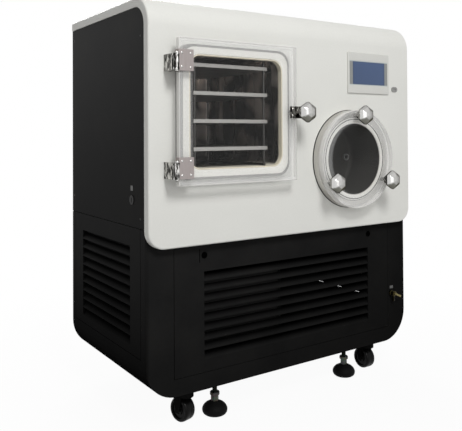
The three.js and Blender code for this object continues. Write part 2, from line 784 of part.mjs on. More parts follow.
function hingePin() {
  const half = bracketHeight / 2 + touch;
  const dome = half + pinHeadHeight;
  return turned([
    [0, -dome],
    [0.6 * pinHeadRadius, -dome],
    [pinHeadRadius, -half - pinHeadHeight / 2],
    [pinHeadRadius, -half],
    [pinRadius, -half],
    [pinRadius, half],
    [pinHeadRadius, half],
    [pinHeadRadius, half + pinHeadHeight / 2],
    [0.6 * pinHeadRadius, dome],
    [0, dome],
  ], 12);
}

function hingeLeaf() {
  const knuckleHalf = bracketHeight / 2 - earThickness - running;
  const face = doorFront - hingeY - touch;
  const edge = hingeReach - touch;
  const span = [leafRise - leafHeight / 2, leafRise + leafHeight / 2];
  let leaf = rodZ(earRadius - running, -knuckleHalf, knuckleHalf, 20);
  leaf = leaf.add(block(-earRadius / 2, edge, face - leafThickness, face + 2, -knuckleHalf, knuckleHalf));
  leaf = leaf.add(block(
    edge - leafLegThickness, hingeReach + leafLength, face - leafThickness, face, ...span,
  ));
  leaf = leaf.add(block(
    edge - leafLegThickness, edge, face - leafThickness, face + leafLegDepth, ...span,
  ));
  return leaf.subtract(rodZ(pinRadius + running / 2, -bracketHeight, bracketHeight, 12));
}

function hinges() {
  for (const [name, side] of [['lower', -1], ['upper', 1]]) {
    const z = chamberHeight - hingeDrop + side * hingeSpan / 2;
    piece(`hinge_bracket_${name}`, hingeBracket(), stainless, hingeX, hingeY, z);
    piece(`hinge_pin_${name}`, hingePin(), polished, hingeX, hingeY, z);
    piece(`hinge_leaf_${name}`, hingeLeaf(), stainless, hingeX, hingeY, z);
  }
}

// ---- Clamping knobs ----------------------------------------------------------------------------------

// A six-sided domed knob with its collar and stud, about Y. Its back is at Y = 0, and the stud runs to +Y.
function knob(collarLength, studEnd) {
  const profile = [
    [0, 0],
    [0.62 * knobRadius, 0],
    [0.94 * knobRadius, 0.14 * knobDepth],
    [knobRadius, 0.42 * knobDepth],
    [0.82 * knobRadius, 0.72 * knobDepth],
    [0.50 * knobRadius, 0.94 * knobDepth],
    [0, knobDepth],
  ];
  const sixth = round / 6;
  const points = profile.map(([radius, height]) => new THREE.Vector2(radius, height));
  const head = new THREE.LatheGeometry(points, 24).rotateX(Math.PI / 2);
  const place = head.attributes.position;
  for (let i = 0; i < place.count; i++) {
    const x = place.getX(i);
    const y = place.getY(i);
    const turn = Math.atan2(y, x);
    const fromFlat = turn - sixth * Math.round(turn / sixth);
    const flat = Math.cos(sixth / 2) / Math.cos(fromFlat);
    const share = Math.min(flat, 1 - knobCornerLoss / knobRadius);
    place.setXY(i, x * share, y * share);
  }
  const sixSided = solid(head).rotate([90, 0, 0]);
  const collar = rodY(knobCollarRadius, -2, collarLength);
  return joined(sixSided, collar, rodY(studRadius, collarLength - 1, studEnd, 10));
}

function doorClamp() {
  const free = clampReach - lugLegThickness;
  const lugBack = doorFront - touch;
  const lugFront = lugBack - lugThickness;
  const half = lugHeight / 2;
  let lug = block(-clampReach - lugGrip, 0, lugFront, lugBack, -half, half);
  lug = lug.add(rodY(half, lugFront, lugBack, 20));
  lug = lug.add(block(
    -clampReach + touch, -free + touch, lugFront, lugBack + doorThickness, -half, half,
  ));
  lug = lug.subtract(rodY(studRadius + running, lugFront - 1, lugBack + 1));
  piece('clamp_lug', lug, stainless, clampX, 0, clampHeight);
  const bossBack = -hoodLip - touch;
  const bossFace = -hoodLip - bossHeight;
  const socket = studEngagement + bossClearance;
  const boss = rodY(bossRadius, bossFace, bossBack, 20)
    .subtract(rodY(studRadius + bossClearance, bossFace - 1, bossFace + socket));
  piece('clamp_boss', boss, polished, clampX, 0, clampHeight);
  const stud = bossFace + studEngagement - knobBack;
  piece('clamp_knob', knob(lugFront - touch - knobBack, stud), polished, clampX, knobBack, clampHeight);
}

// ---- Cold trap ---------------------------------------------------------------------------------------

function trapCorner(i) {
  const angle = Math.PI / 2 + i * round / trapKnobCount;
  return [trapKnobCircle * Math.cos(angle), trapKnobCircle * Math.sin(angle)];
}

function coldTrap() {
  const back = flangeFace + trapDepth;
  const outer = trapRadius + trapWall;
  let trap = rodY(trapFlangeRadius, flangeFace, -hoodLip - touch, 48);
  trap = trap.add(rodY(outer, flangeFace + 1, back + trapWall, 48));
  trap = trap.subtract(rodY(trapRadius, flangeFace - 1, back, 48));
  trap = trap.add(rodY(portRadius, back - portLength, back + 1, 16).translate([portOffset, 0, 0]));
  trap = trap.subtract(rodY(portBore, back - 2 * portLength, back + 2 * trapWall, 16)
    .translate([portOffset, 0, 0]));
  const seal = rodY(trapRadius + sheet + trapSealWidth, -sealThickness, 0, 48)
    .subtract(rodY(trapRadius + sheet, -2 * sealThickness, 1, 48));
  let disc = rodY(trapFlangeRadius, doorBack - doorThickness, doorBack, 48);
  for (let i = 0; i < trapKnobCount; i++) {
    const [x, z] = trapCorner(i);
    const socket = rodY(studRadius + running, flangeFace - 1, flangeFace + studEngagement + running);
    trap = trap.subtract(socket.translate([x, 0, z]));
    disc = disc.subtract(rodY(studRadius + running, doorFront - 1, doorBack + 1).translate([x, 0, z]));
    const collar = knobFaceGap - touch;
    const stud = flangeFace + studEngagement - knobBack;
    piece(`trap_knob_${i + 1}`, knob(collar, stud), polished, trapX + x, knobBack, trapHeight + z);
  }
  piece('cold_trap', trap, stainless, trapX, 0, trapHeight);
  piece('trap_seal', seal, silicone, trapX, flangeFace - touch, trapHeight);
  piece('trap_door', disc, clearAcrylic, trapX, 0, trapHeight);
}

// ---- Touch panel and data port -----------------------------------------------------------------------

function touchPanel() {
  const back = -hoodLip - touch;
  const front = -hoodLip - bezelProud;
  let bezel = alongY(roundedRectangle(bezelWidth, bezelHeight, bezelRadius), front, back, 2);
  const housing = roundedRectangle(
    bezelWidth - 2 * housingMargin, bezelHeight - 2 * housingMargin, bezelRadius,
  );
  bezel = bezel.add(alongY(housing, back - 1, -hoodLip + bezelHousing, 2));
  const half = [screenWidth / 2, screenHeight / 2];
  const floor = front + screenRecess + screenThickness;
  bezel = bezel.subtract(block(-half[0], half[0], front - 1, floor, -half[1], half[1]));
  piece('panel_bezel', bezel, greyPlastic, panelX, 0, panelHeight);
  const screen = block(
    -half[0] + touch, half[0] - touch, floor - touch - screenThickness, floor - touch,
    -half[1] + touch, half[1] - touch,
  );
  piece('panel_screen', screen, displayGlass, panelX, 0, panelHeight);
}

function dataPort() {
  const back = -hoodLip - touch;
  const outline = roundedRectangle(dataPortWidth, dataPortTall, dataPortTall / 2 - touch);
  let port = alongY(outline, back - dataPortProud, back);
  port = port.add(rodY(dataPortTall / 2 - 3 * neckClearance, back - 1, back + dataPortStem));
  piece('data_port', port, blackPlastic, dataPortX, 0, dataPortHeight);
}

// ---- Drain valve -------------------------------------------------------------------------------------

function drainValve() {
  const nutBack = -touch;
  const nutFront = nutBack - valveNutLength;
  const bodyFront = nutFront - valveBodyLength;
  let valve = rodY(valveNippleRadius, nutFront, 6 * sheet, 12);
  valve = valve.add(rodY(valveNutRadius, nutFront, nutBack, 6));
  valve = valve.add(rodY(valveBodyRadius, bodyFront, nutFront + 1, 16));
  const outlet = rodZ(valveOutletRadius, -valveBodyRadius - valveOutletLength, 0, 12);
  valve = valve.add(outlet.translate([0, bodyFront + valveBodyLength / 2, 0]));
  piece('drain_valve', valve, brass, valveX, 0, valveHeight);
  const half = leverWidth / 2;
  let lever = block(0, leverLength, -leverThickness, 0, -half, half);
  lever = lever.add(rodY(half + 1, -2 * leverThickness, 0, 12));
  lever = lever.rotate([0, -leverTilt * 180 / Math.PI, 0]);
  piece('drain_lever', lever, brass, valveX, bodyFront - touch, valveHeight);
}

// ---- Castors and levelling feet ----------------------------------------------------------------------

const axleHeight = wheelRadius * Math.cos(Math.PI / wheelSides) - groundClearance;

function castorWheel() {
  const half = wheelWidth / 2;
  const shoulder = wheelRadius - wheelRounding;
  return turned([
    [wheelBore, -half],
    [shoulder, -half],
    [wheelRadius, -half + wheelRounding],
    [wheelRadius, half - wheelRounding],
    [shoulder, half],
    [wheelBore, half],
    [wheelBore, -half],
  ], wheelSides).rotate([0, 90, 0]).rotate([180 / wheelSides, 0, 0]);
}

// The fork about its swivel axis, with the wheel axle behind it at the trail.
function castorFork() {
  const inner = wheelWidth / 2 + forkGap;
  const outer = inner + forkThickness;
  const crownTop = -mountPlate - touch;
  const crownBase = axleHeight + wheelRadius + forkGap;
  const half = forkWidth / 2;
  let fork = rodZ(swivelRadius, crownBase + forkThickness / 2, crownTop, 20);
  fork = fork.add(block(
    -outer, outer, castorTrail - half, castorTrail + half, crownBase, crownBase + forkThickness,
  ));
  const cheek = polygon([
    [castorTrail - half, crownBase + forkThickness / 2],
    [castorTrail - 0.4 * half, axleHeight - 0.5 * half],
    [castorTrail + 0.4 * half, axleHeight - 0.5 * half],
    [castorTrail + half, crownBase + forkThickness / 2],
  ]);
  fork = joined(fork, alongX(cheek, -outer, -inner), alongX(cheek, inner, outer));
  const axle = rodX(wheelBore - running, -outer - 2, outer + 2, 12);
  fork = fork.add(axle.translate([0, castorTrail, axleHeight]));
  return fork.add(rodZ(kingpinRadius, crownTop - 1, kingpinLength, 12));
}

function castors() {
  atCorners(castorXs, castorYs, (name, x, y, i) => {
    const turn = THREE.MathUtils.degToRad(castorTurns[i]);
    const wheelX = x - castorTrail * Math.sin(turn);
    const wheelY = y + castorTrail * Math.cos(turn);
    piece(`castor_fork_${name}`, castorFork(), blackPaint, x, y, 0, turn);
    piece(`castor_wheel_${name}`, castorWheel(), blackPlastic, wheelX, wheelY, axleHeight, turn);
  });
}

function levellingFeet() {
  const padTop = padHeight - groundClearance;
  const nutTop = padTop + touch + footNutHeight;
  const flangeTop = nutTop + footFlangeHeight;
  atCorners(footXs, footYs, (name, x, y) => {
    const pad = turned([
      [0, -groundClearance],
      [0.74 * padRadius, -groundClearance],
      [0.92 * padRadius, -groundClearance + 0.12 * padHeight],
      [padRadius, -groundClearance + 0.33 * padHeight],
      [0.95 * padRadius, -groundClearance + 0.55 * padHeight],
      [0.76 * padRadius, -groundClearance + 0.79 * padHeight],
      [footFlangeRadius, padTop],
      [0, padTop],
    ], 24);
    piece(`foot_pad_${name}`, pad, rubber, x, y);
    const stud = joined(
      rodZ(footNutRadius, padTop + touch, nutTop, 6),
      rodZ(footFlangeRadius, nutTop - 1, flangeTop, 16),
      rodZ(footStudRadius, nutTop, footStudRise, 12),
    );
    piece(`foot_stud_${name}`, stud, galvanised, x, y);
  });
}

// ---- Machinery in the base ---------------------------------------------------------------------------

function compressor() {
  const floor = sheet + touch;
  const shoulder = floor + compressorHeight - compressorRadius / 2;
  const foot = 1.15 * compressorRadius;
  const shell = turned([
    [0, floor],
    [foot, floor],
    [foot, floor + 2 * sheet],
    [compressorRadius, floor + 2 * sheet],
    [compressorRadius, shoulder],
    [0.8 * compressorRadius, shoulder + 0.35 * compressorRadius],
    [0.35 * compressorRadius, floor + compressorHeight],
    [0, floor + compressorHeight],
  ], 24);
  piece('compressor', shell, blackPaint, compressorX, compressorY);
}

// A finned block between two end plates, with the ends of its tubes showing.
function condenser() {
  const floor = sheet + touch;
  const half = [condenserWidth / 2, condenserDepth / 2];
  const top = floor + condenserHeight;
  const fins = half[1] - condenserFinRecess;
  let coil = block(-half[0], half[0], -fins, fins, floor, top - condenserFinRecess);
  for (const side of [-1, 1]) {
    const edges = [side * half[0], side * (half[0] - sheet)].sort((p, q) => p - q);
    coil = coil.add(block(...edges, -half[1], half[1], floor, top));
  }
  const pitch = condenserHeight / condenserTubes;
  for (let i = 0; i < condenserTubes; i++) {
    const front = -half[1] + condenserBendInset;
    const bend = block(
      -half[0] - condenserBendReach, -half[0] + 1, front, front + condenserBendSize, 0, condenserBendSize,
    );
    coil = coil.add(bend.translate([0, 0, floor + (i + 0.35) * pitch]));
  }
  piece('condenser', coil, galvanised, condenserX, condenserY);
}

// ---- The whole machine -------------------------------------------------------------------------------

baseFrame();
innerFrame();
hood();
frontPanel();
lowerSidePanels();
upperSidePanels();
rearPanel();
latches();
dryingChamber();
shelves();
shelfRack();
oilPipes();
doorPanel();
hinges();
doorClamp();
coldTrap();
touchPanel();
dataPort();
drainValve();
castors();
levellingFeet();
compressor();
condenser();

export default dryer;
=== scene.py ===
"""Finishes and fine shapes of a pilot freeze dryer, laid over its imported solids."""

import json
from math import atan2, copysign, cos, pi, radians, sin

import bmesh
import bpy
from bpy.props import FloatProperty, FloatVectorProperty, PointerProperty
from mathutils import Matrix, Vector

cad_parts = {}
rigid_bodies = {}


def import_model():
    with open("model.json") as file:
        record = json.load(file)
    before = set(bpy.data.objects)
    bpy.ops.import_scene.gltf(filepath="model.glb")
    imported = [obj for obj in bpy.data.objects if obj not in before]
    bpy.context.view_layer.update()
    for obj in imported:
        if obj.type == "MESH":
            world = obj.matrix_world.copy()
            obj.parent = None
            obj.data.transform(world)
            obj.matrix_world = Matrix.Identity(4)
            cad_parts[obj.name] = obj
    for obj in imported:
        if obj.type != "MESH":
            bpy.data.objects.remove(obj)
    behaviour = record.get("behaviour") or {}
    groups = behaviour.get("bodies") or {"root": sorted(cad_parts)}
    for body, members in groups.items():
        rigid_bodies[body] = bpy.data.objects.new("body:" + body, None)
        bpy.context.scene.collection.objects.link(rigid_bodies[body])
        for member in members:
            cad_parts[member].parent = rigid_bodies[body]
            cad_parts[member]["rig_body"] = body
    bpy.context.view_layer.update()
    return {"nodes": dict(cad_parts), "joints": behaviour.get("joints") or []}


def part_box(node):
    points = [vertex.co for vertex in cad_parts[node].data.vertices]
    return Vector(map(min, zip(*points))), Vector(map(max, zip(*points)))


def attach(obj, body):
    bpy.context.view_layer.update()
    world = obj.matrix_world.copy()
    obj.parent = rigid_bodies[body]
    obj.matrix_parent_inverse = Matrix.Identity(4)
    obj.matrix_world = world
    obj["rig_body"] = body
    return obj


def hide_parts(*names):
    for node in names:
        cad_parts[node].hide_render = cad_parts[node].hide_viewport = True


bl_info = {
    "name": "Pilot Freeze Dryer",
    "version": (1, 0, 0),
    "blender": (4, 5, 0),
    "location": "3D View > Sidebar > Freeze Dryer",
    "description": "Dresses the packed freeze dryer with its fine shapes and finishes",
    "category": "Object",
}

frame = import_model()
NODES = frame["nodes"]

X = Vector((1, 0, 0))
Y = Vector((0, 1, 0))
Z = Vector((0, 0, 1))
CORNERS = ("front_left", "front_right", "rear_left", "rear_right")
MM = 0.001
BLACK_GAIN = 1.75  # how much lighter than its colour the black coat is where its painted light is brightest
HOOD_GAP = 0.3  # how far flanges and bezels stay off the hood, in millimetres


# ---- Sizes and colours that a user can set -----------------------------------------------------------


def length(name, description, default):
    return FloatProperty(
        name=name, description=description, default=default, unit="LENGTH", subtype="DISTANCE"
    )


def colour(name, description, red, green, blue):
    """A colour given as the eye sees it, 0 to 255, and kept as the light it returns."""
    light = [((v / 255 + 0.055) / 1.055) ** 2.4 if v > 10 else v / 255 / 12.92 for v in (red, green, blue)]
    return FloatVectorProperty(
        name=name, description=description, default=light, size=3, min=0, max=1, subtype="COLOR"
    )


class DryerSizes(bpy.types.PropertyGroup):
    """Sizes of the fine shapes"""

    hood_edge: length("Hood edge", "Rounding of the outer edges of the hood", 0.006)
    sheet_edge: length("Sheet edge", "Rounding of the edges of the painted sheets", 0.0008)
    machined_edge: length("Machined edge", "Rounding of machined steel edges", 0.0006)
    acrylic_edge: length("Acrylic edge", "Chamfer round the clear door and disc", 0.0025)
    opening_margin: length("Flange width", "Chamber flange beyond the opening", 0.033)
    opening_radius: length("Opening corner", "Corner radius of the chamber opening", 0.038)
    chamber_wall: length("Chamber wall", "Thickness of the chamber wall", 0.005)
    chamber_bend: length("Chamber bend", "Rounding where the chamber walls meet its rear", 0.025)
    trap_radius: length("Trap bore", "Inner radius of the cold trap", 0.128)
    trap_wall: length("Trap wall", "Thickness of the cold trap wall", 0.005)
    bead: length("Sealing bead", "Width of the bead where a flange meets the hood", 0.002)
    knob_depth: length("Knob depth", "Depth of the six-sided head of a clamping knob", 0.032)
    screen_bar: length("Screen bar", "Width of the grey bars beside the lit display", 0.0165)
    thread_pitch: length("Thread pitch", "Pitch of the threads of the levelling feet", 0.002)
    front_left_turn: FloatProperty(
        name="Front left castor", description="How far the front left castor is turned", default=radians(15),
        subtype="ANGLE",
    )


class DryerColours(bpy.types.PropertyGroup):
    """Colours that the finishes start from"""

    white_paint: colour("White paint", "Powder coat of the hood", 228, 228, 223)
    black_paint: colour("Black paint", "Powder coat of the cabinet", 23, 23, 23)
    steel: colour("Steel", "Brushed stainless steel", 204, 202, 198)
    leaf_steel: colour("Hinge steel", "Brushed steel of the hinge leaves", 160, 152, 150)
    chamber_steel: colour("Chamber steel", "Mirror steel inside the chamber", 108, 103, 99)
    trap_steel: colour("Trap steel", "Dull steel inside the cold trap", 72, 71, 68)
    silicone: colour("Seal", "White silicone", 238, 237, 231)
    lip: colour("Lip", "Cream inner lip of the chamber seal", 235, 227, 206)
    bezel: colour("Bezel", "Grey plastic of the touch panel", 210, 210, 205)
    display: colour("Display", "Lit display", 50, 70, 104)
    display_bar: colour("Display bar", "Unlit bars beside the display", 136, 138, 136)
    brass: colour("Brass", "Drain valve", 128, 118, 80)


def sizes():
    return bpy.context.scene.dryer_sizes


def colours():
    return bpy.context.scene.dryer_colours


# ---- Measures of the solids --------------------------------------------------------------------------


def extent(node):
    """The low corner, the high corner and the middle of a solid's box."""
    low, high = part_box(node)
    return low, high, (low + high) / 2


def span(node):
    """The size of a solid's box along x, y and z, in millimetres."""
    low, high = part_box(node)
    return (high - low) / MM


def middle(node):
    return extent(node)[2]


def front_of(node):
    """The middle of the front of a solid's box."""
    low, _, centre = extent(node)
    return Vector((centre.x, low.y, centre.z))


def foot_of(node):
    """The middle of the underside of a solid's box."""
    low, _, centre = extent(node)
    return Vector((centre.x, centre.y, low.z))


def to_hood(face):
    """How far behind a point the face of the hood lies, in millimetres."""
    return (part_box("hood")[0].y - face.y) / MM


def body_of(node):
    return NODES[node]["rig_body"]


def pivot_of(body):
    """Where the joint that carries a body has its axis."""
    for joint in frame["joints"]:
        if joint["child"] == body:
            return Vector(joint["pos_m"])
    raise ValueError(f"the record has no joint that carries {body}")


# ---- Materials ---------------------------------------------------------------------------------------


class Number:
    """A number worked out by nodes; arithmetic on it adds Math nodes."""

    def __init__(self, nodes, socket):
        self.nodes = nodes
        self.socket = socket

    def _maths(self, operation, first, second=0.0):
        made = self.nodes.node("ShaderNodeMath", {"operation": operation}, {0: first, 1: second})
        return Number(self.nodes, made.outputs[0])

    def __add__(self, other):
        return self._maths("ADD", self, other)

    def __radd__(self, other):
        return self._maths("ADD", other, self)

    def __sub__(self, other):
        return self._maths("SUBTRACT", self, other)

    def __rsub__(self, other):
        return self._maths("SUBTRACT", other, self)

    def __mul__(self, other):
        return self._maths("MULTIPLY", self, other)

    def __rmul__(self, other):
        return self._maths("MULTIPLY", other, self)

    def __truediv__(self, other):
        return self._maths("DIVIDE", self, other)

    def __rtruediv__(self, other):
        return self._maths("DIVIDE", other, self)

    def __pow__(self, other):
        return self._maths("POWER", self, other)

    def __abs__(self):
        return self._maths("ABSOLUTE", self)

    def least(self, other):
        return self._maths("MINIMUM", self, other)

    def most(self, other):
        return self._maths("MAXIMUM", self, other)

    def sine(self):
        return self._maths("SINE", self)

    def over(self, low, high):
        """0 from low away from high, 1 from high away from low, and straight between them."""
        made = self.nodes.node("ShaderNodeMapRange", {"clamp": True}, {0: self, 1: low, 2: high})
        return Number(self.nodes, made.outputs[0])


class Nodes:
    """The node tree of a material or of the world."""

    def __init__(self, owner):
        owner.use_nodes = True
        self.tree = owner.node_tree
        self.tree.nodes.clear()

    def node(self, kind, settings=None, sockets=None):
        """Adds one node: its settings first, and then what goes into its sockets."""
        made = self.tree.nodes.new(kind)
        for name, value in (settings or {}).items():
            setattr(made, name, value)
        for name, value in (sockets or {}).items():
            self.plug(made.inputs[name], value)
        return made

    def plug(self, socket, value):
        value = getattr(value, "socket", value)
        if isinstance(value, bpy.types.NodeSocket):
            self.tree.links.new(value, socket)
        elif socket.type == "RGBA" and len(value) == 3:
            socket.default_value = (*value, 1)
        else:
            socket.default_value = value

    def seen(self):
        """1 for a ray from the eye, straight, mirrored or through something clear, and 0 for any other."""
        rays = self.node("ShaderNodeLightPath").outputs
        mirrored = Number(self, rays["Is Glossy Ray"]).most(Number(self, rays["Is Transmission Ray"]))
        return mirrored.most(Number(self, rays["Is Camera Ray"]))


class Finish(Nodes):
    """A material and the nodes that make it."""

    def __init__(self, name, **constants):
        self.material = bpy.data.materials.new(name)
        super().__init__(self.material)
        self.shader = self.node("ShaderNodeBsdfPrincipled")
        self.result = self.node("ShaderNodeOutputMaterial", sockets={"Surface": self.shader.outputs[0]})
        self.place = self.node("ShaderNodeTexCoord").outputs["Object"]
        self.set(**constants)

    def set(self, **inputs):
        """Puts numbers or worked-out values into the shader; Base_Color stands for Base Color."""
        for name, value in inputs.items():
            self.plug(self.shader.inputs[name.replace("_", " ")], value)

    def noise(self, scale, detail=2.0, roughness=0.5, place=None):
        made = self.node("ShaderNodeTexNoise", sockets={
            "Vector": place or self.place, "Scale": scale, "Detail": detail, "Roughness": roughness,
        })
        return Number(self, made.outputs[0])

    def bands(self, x, y, z, detail=1.0, roughness=0.5):
        """Noise at another scale along each axis."""
        stretch = self.node("ShaderNodeMapping", sockets={"Vector": self.place, "Scale": (x, y, z)})
        return self.noise(1.0, detail, roughness, stretch.outputs[0])

    def spangle(self, scale):
        made = self.node("ShaderNodeTexVoronoi", sockets={"Vector": self.place, "Scale": scale})
        return made.outputs["Color"]

    def axes(self):
        made = self.node("ShaderNodeSeparateXYZ", sockets={0: self.place})
        return [Number(self, socket) for socket in made.outputs]

    def facing(self):
        """0 where the surface faces the eye and 1 where it is seen edge on."""
        return Number(self, self.node("ShaderNodeLayerWeight", sockets={"Blend": 0.5}).outputs["Facing"])

    def downward(self):
        """1 where the surface looks straight down, 0 where it is upright and -1 where it looks up."""
        normal = self.node("ShaderNodeNewGeometry").outputs["Normal"]
        parts = self.node("ShaderNodeSeparateXYZ", sockets={0: normal})
        return 0.0 - Number(self, parts.outputs["Z"])

    def between(self, factor, first, second):
        """The first colour where the factor is 0 and the second where it is 1."""
        made = self.node("ShaderNodeMix", {"data_type": "RGBA"}, {0: factor, 6: first, 7: second})
        return made.outputs[2]

    def bump(self, height, distance, strength=1.0):
        made = self.node("ShaderNodeBump", sockets={
            "Height": height, "Distance": distance, "Strength": strength,
        })
        self.set(Normal=made.outputs[0])


def shade(tone, share):
    return [min(1.0, v * share) for v in tone]


def powder_coat(name, tone, grain, gloss, shine, dust, dust_share, light=None):
    """Orange-peel powder coat, with a little dust that gathers in patches, and painted light and shade where
    a light function is given.
    """
    finish = Finish(name, Specular_IOR_Level=shine)
    patches = finish.noise(4.0, 5.0, 0.6).over(0.42, 0.7)
    fine = finish.noise(160.0, 3.0)
    tint = finish.between(patches * dust_share, tone, dust)
    tint = finish.between(fine.over(0.3, 0.7) * 0.35, tint, shade(tone, 0.93))
    # Painted light and shade, where a light function is given.
    if light:
        tint = finish.between(light(finish), (0, 0, 0), tint)
    finish.set(Base_Color=tint, Roughness=gloss + 0.08 * fine + 0.06 * patches)
    peel = finish.noise(grain, 1.0)
    finish.bump(peel + 0.3 * finish.noise(grain * 3, 1.0), 0.00022, 0.35)
    return finish


def painted_cabinet_shade(finish):
    """Painted light and shade of the black coat: darker low down, towards the front's right and where it
    looks down.
    """
    low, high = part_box("base_frame")
    x, _, z = finish.axes()
    # Painted shade: the front darker to its right and low down, the sides darker low down, and every face
    # darker where it looks down.
    front = (1.5 - 0.6 * x.over(low.x, high.x)) * (0.85 + 0.3 * z.over(0.15, 0.5))
    flank = 0.4 + 0.6 * z.over(0.2, 0.5) + 0.6 * z.over(0.85, 1.25)
    side = abs(x).over(high.x - 15 * MM, high.x - 2 * MM)
    lit = front * (1.0 - side) + flank * side
    return lit * (1.0 - 0.7 * finish.downward().over(0.1, 0.7)) / BLACK_GAIN


def black_coat(name, axis=0, face=0.0, outward=0, darkening=0.0):
    """Black powder coat with painted light and shade, and a painted sheen on its sides that grows with
    height; on a louvred panel the blades get darker painted shade as they go in from its face along an axis.
    """
    def light(finish):
        if not outward:
            return painted_cabinet_shade(finish)
        # Painted shade: louvre blades darker the further in from the panel's face they go.
        depth = outward * (face - finish.axes()[axis])
        return painted_cabinet_shade(finish) * (1.0 - darkening * depth.over(3 * MM, 10 * MM))

    tone = shade(colours().black_paint, BLACK_GAIN)
    finish = powder_coat(name, tone, 700, 0.42, 0.0, (0.034, 0.033, 0.031), 0.35, light)
    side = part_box("base_frame")[1].x
    x, _, z = finish.axes()
    # Painted sheen: a coat on the sides that grows stronger with height.
    painted_sheen = 0.02 + 0.08 * z.over(0.2, 0.6) + 0.055 * z.over(0.6, 0.9) + 0.08 * z.over(0.9, 1.25)
    finish.set(Coat_Weight=painted_sheen * abs(x).over(side - 10 * MM, side - 1 * MM), Coat_Roughness=0.42)
    return finish


def brushed_steel(name, tone, gloss, along, wear=0.10):
    """Steel with fine brush marks along one axis, and faint handling marks."""
    finish = Finish(name, Metallic=1.0)
    stretch = [1500.0, 1500.0, 1500.0]
    stretch["xyz".index(along)] = 14.0
    lines = finish.bands(*stretch, 3.0, 0.6)
    marks = finish.noise(22.0, 4.0, 0.55).over(0.45, 0.75)
    tint = finish.between(lines.over(0.3, 0.7), shade(tone, 0.82), shade(tone, 1.08))
    tint = finish.between(marks * wear * 2, tint, shade(tone, 0.75))
    finish.set(Base_Color=tint, Roughness=gloss + 0.12 * lines + wear * marks)
    finish.bump(lines, 0.00012, 0.25)
    return finish


def polished_steel(name):
    """Mirror steel with painted reflection: greyer where it turns away and painted a dark olive where it
    looks down.
    """
    finish = Finish(name, Metallic=1.0, Specular_Tint=(0.32, 0.315, 0.30))
    hairs = finish.bands(220.0, 60.0, 220.0, 2.0)
    smears = finish.noise(30.0, 4.0).over(0.4, 0.75)
    # Painted reflection: grey where the surface turns away, dark olive where it looks down.
    away = finish.facing().over(0.10, 0.75)
    under = finish.downward().over(0.05, 0.5)
    tint = finish.between(away, (0.60, 0.595, 0.58), (0.20, 0.195, 0.185))
    tint = finish.between(0.8 * under, tint, (0.07, 0.068, 0.048))
    finish.set(Base_Color=tint, Roughness=0.10 + 0.05 * hairs + 0.08 * smears)
    finish.bump(smears, 0.00008, 0.2)
    return finish


def streaked_steel(name):
    """Mirror steel on small blocks, broken up by painted upright bands of bright and dark reflection."""
    finish = Finish(name, Metallic=1.0)
    bands = finish.bands(150.0, 150.0, 45.0, 2.0, 0.55).over(0.46, 0.58)
    # Painted reflections: bands between near black and bright steel.
    tint = finish.between(bands, (0.018, 0.017, 0.015), (0.66, 0.65, 0.63))
    finish.set(Base_Color=tint, Roughness=0.14 + 0.10 * bands)
    finish.bump(bands, 0.0002, 0.2)
    return finish


def zinc_plate(name, tone):
    """Plated steel with a faint spangle and duller patches."""
    finish = Finish(name, Metallic=0.9)
    grey = finish.between(0.04, tone, finish.spangle(120.0))
    dull = finish.noise(45.0, 4.0).over(0.35, 0.75)
    finish.set(Base_Color=finish.between(dull, grey, shade(tone, 0.6)), Roughness=0.34 + 0.22 * dull)
    finish.bump(finish.noise(400.0, 2.0), 0.0001, 0.3)
    return finish


def display_panel(name):
    """A lit display with unlit bars at both sides, under its own cover glass."""
    low, high, centre = extent("panel_screen")
    bar = sizes().screen_bar
    tones = colours()
    finish = Finish(name, Coat_Weight=0.1, Coat_Roughness=0.1, Roughness=0.35, Emission_Strength=0.06)
    x, _, z = finish.axes()
    half = centre.x - low.x - bar
    inside = abs(x - centre.x).over(half + 1.2 * MM, half)
    across = x.over(low.x + bar, high.x - bar)
    up = z.over(low.z, high.z)
    glow = finish.noise(38.0, 3.0)
    lit = finish.between(0.4 * across + 0.4 * up + 0.3 * glow, tones.display, shade(tones.display, 1.25))
    edge = abs(up - 0.5).over(0.42, 0.5).most(abs(across - 0.5).over(0.44, 0.5))
    lit = finish.between(edge * 0.6, lit, shade(tones.display, 0.7))
    line = abs(up - 0.5).over(0.465, 0.485)
    border = finish.between(line, tones.display_bar, (0.50, 0.56, 0.56))
    finish.set(Base_Color=finish.between(inside * (1.0 - line), border, lit))
    finish.set(Emission_Color=finish.between(inside, (0.0, 0.0, 0.0), lit))
    return finish


def clear_acrylic(name, depth_in, rim_tone):
    """Clear cast acrylic: glassy in the middle, milky towards its rim and densest at the rim itself, where
    its tint is painted light of the thick edge, and whiter where seen edge on as a painted reflection.
    """
    finish = Finish(name, IOR=1.49, Specular_IOR_Level=0.4)
    scratches = finish.bands(40.0, 40.0, 900.0, 2.0).over(0.62, 0.8)
    cloud = finish.noise(9.0, 3.0)
    inward = depth_in(finish)
    milky = inward.over(50 * MM, 40 * MM)
    rim = inward.over(3.5 * MM, 1.5 * MM)
    band = inward.over(12 * MM, 9 * MM) * inward.over(3.5 * MM, 6 * MM)
    tint = finish.between(cloud, (0.88, 0.885, 0.875), (0.96, 0.96, 0.95))
    # Painted light of the thick edge: rim_tone sets the rim's tint, high on the door for a painted
    # highlight, lower on the disc for a painted dark line.
    tint = finish.between(rim * 0.8, tint, shade((1.0, 0.985, 0.95), rim_tone))
    alpha = 0.012 + 0.18 * milky + 0.12 * band + 0.5 * rim + 0.03 * scratches
    # Painted reflection: whiter and denser where the surface is seen edge on.
    alpha = alpha + 0.35 * finish.facing().over(0.45, 0.95)
    finish.set(Base_Color=tint, Roughness=0.03 + 0.08 * scratches, Alpha=alpha.least(0.93))
    finish.bump(cloud, 0.0004, 0.15)
    return finish


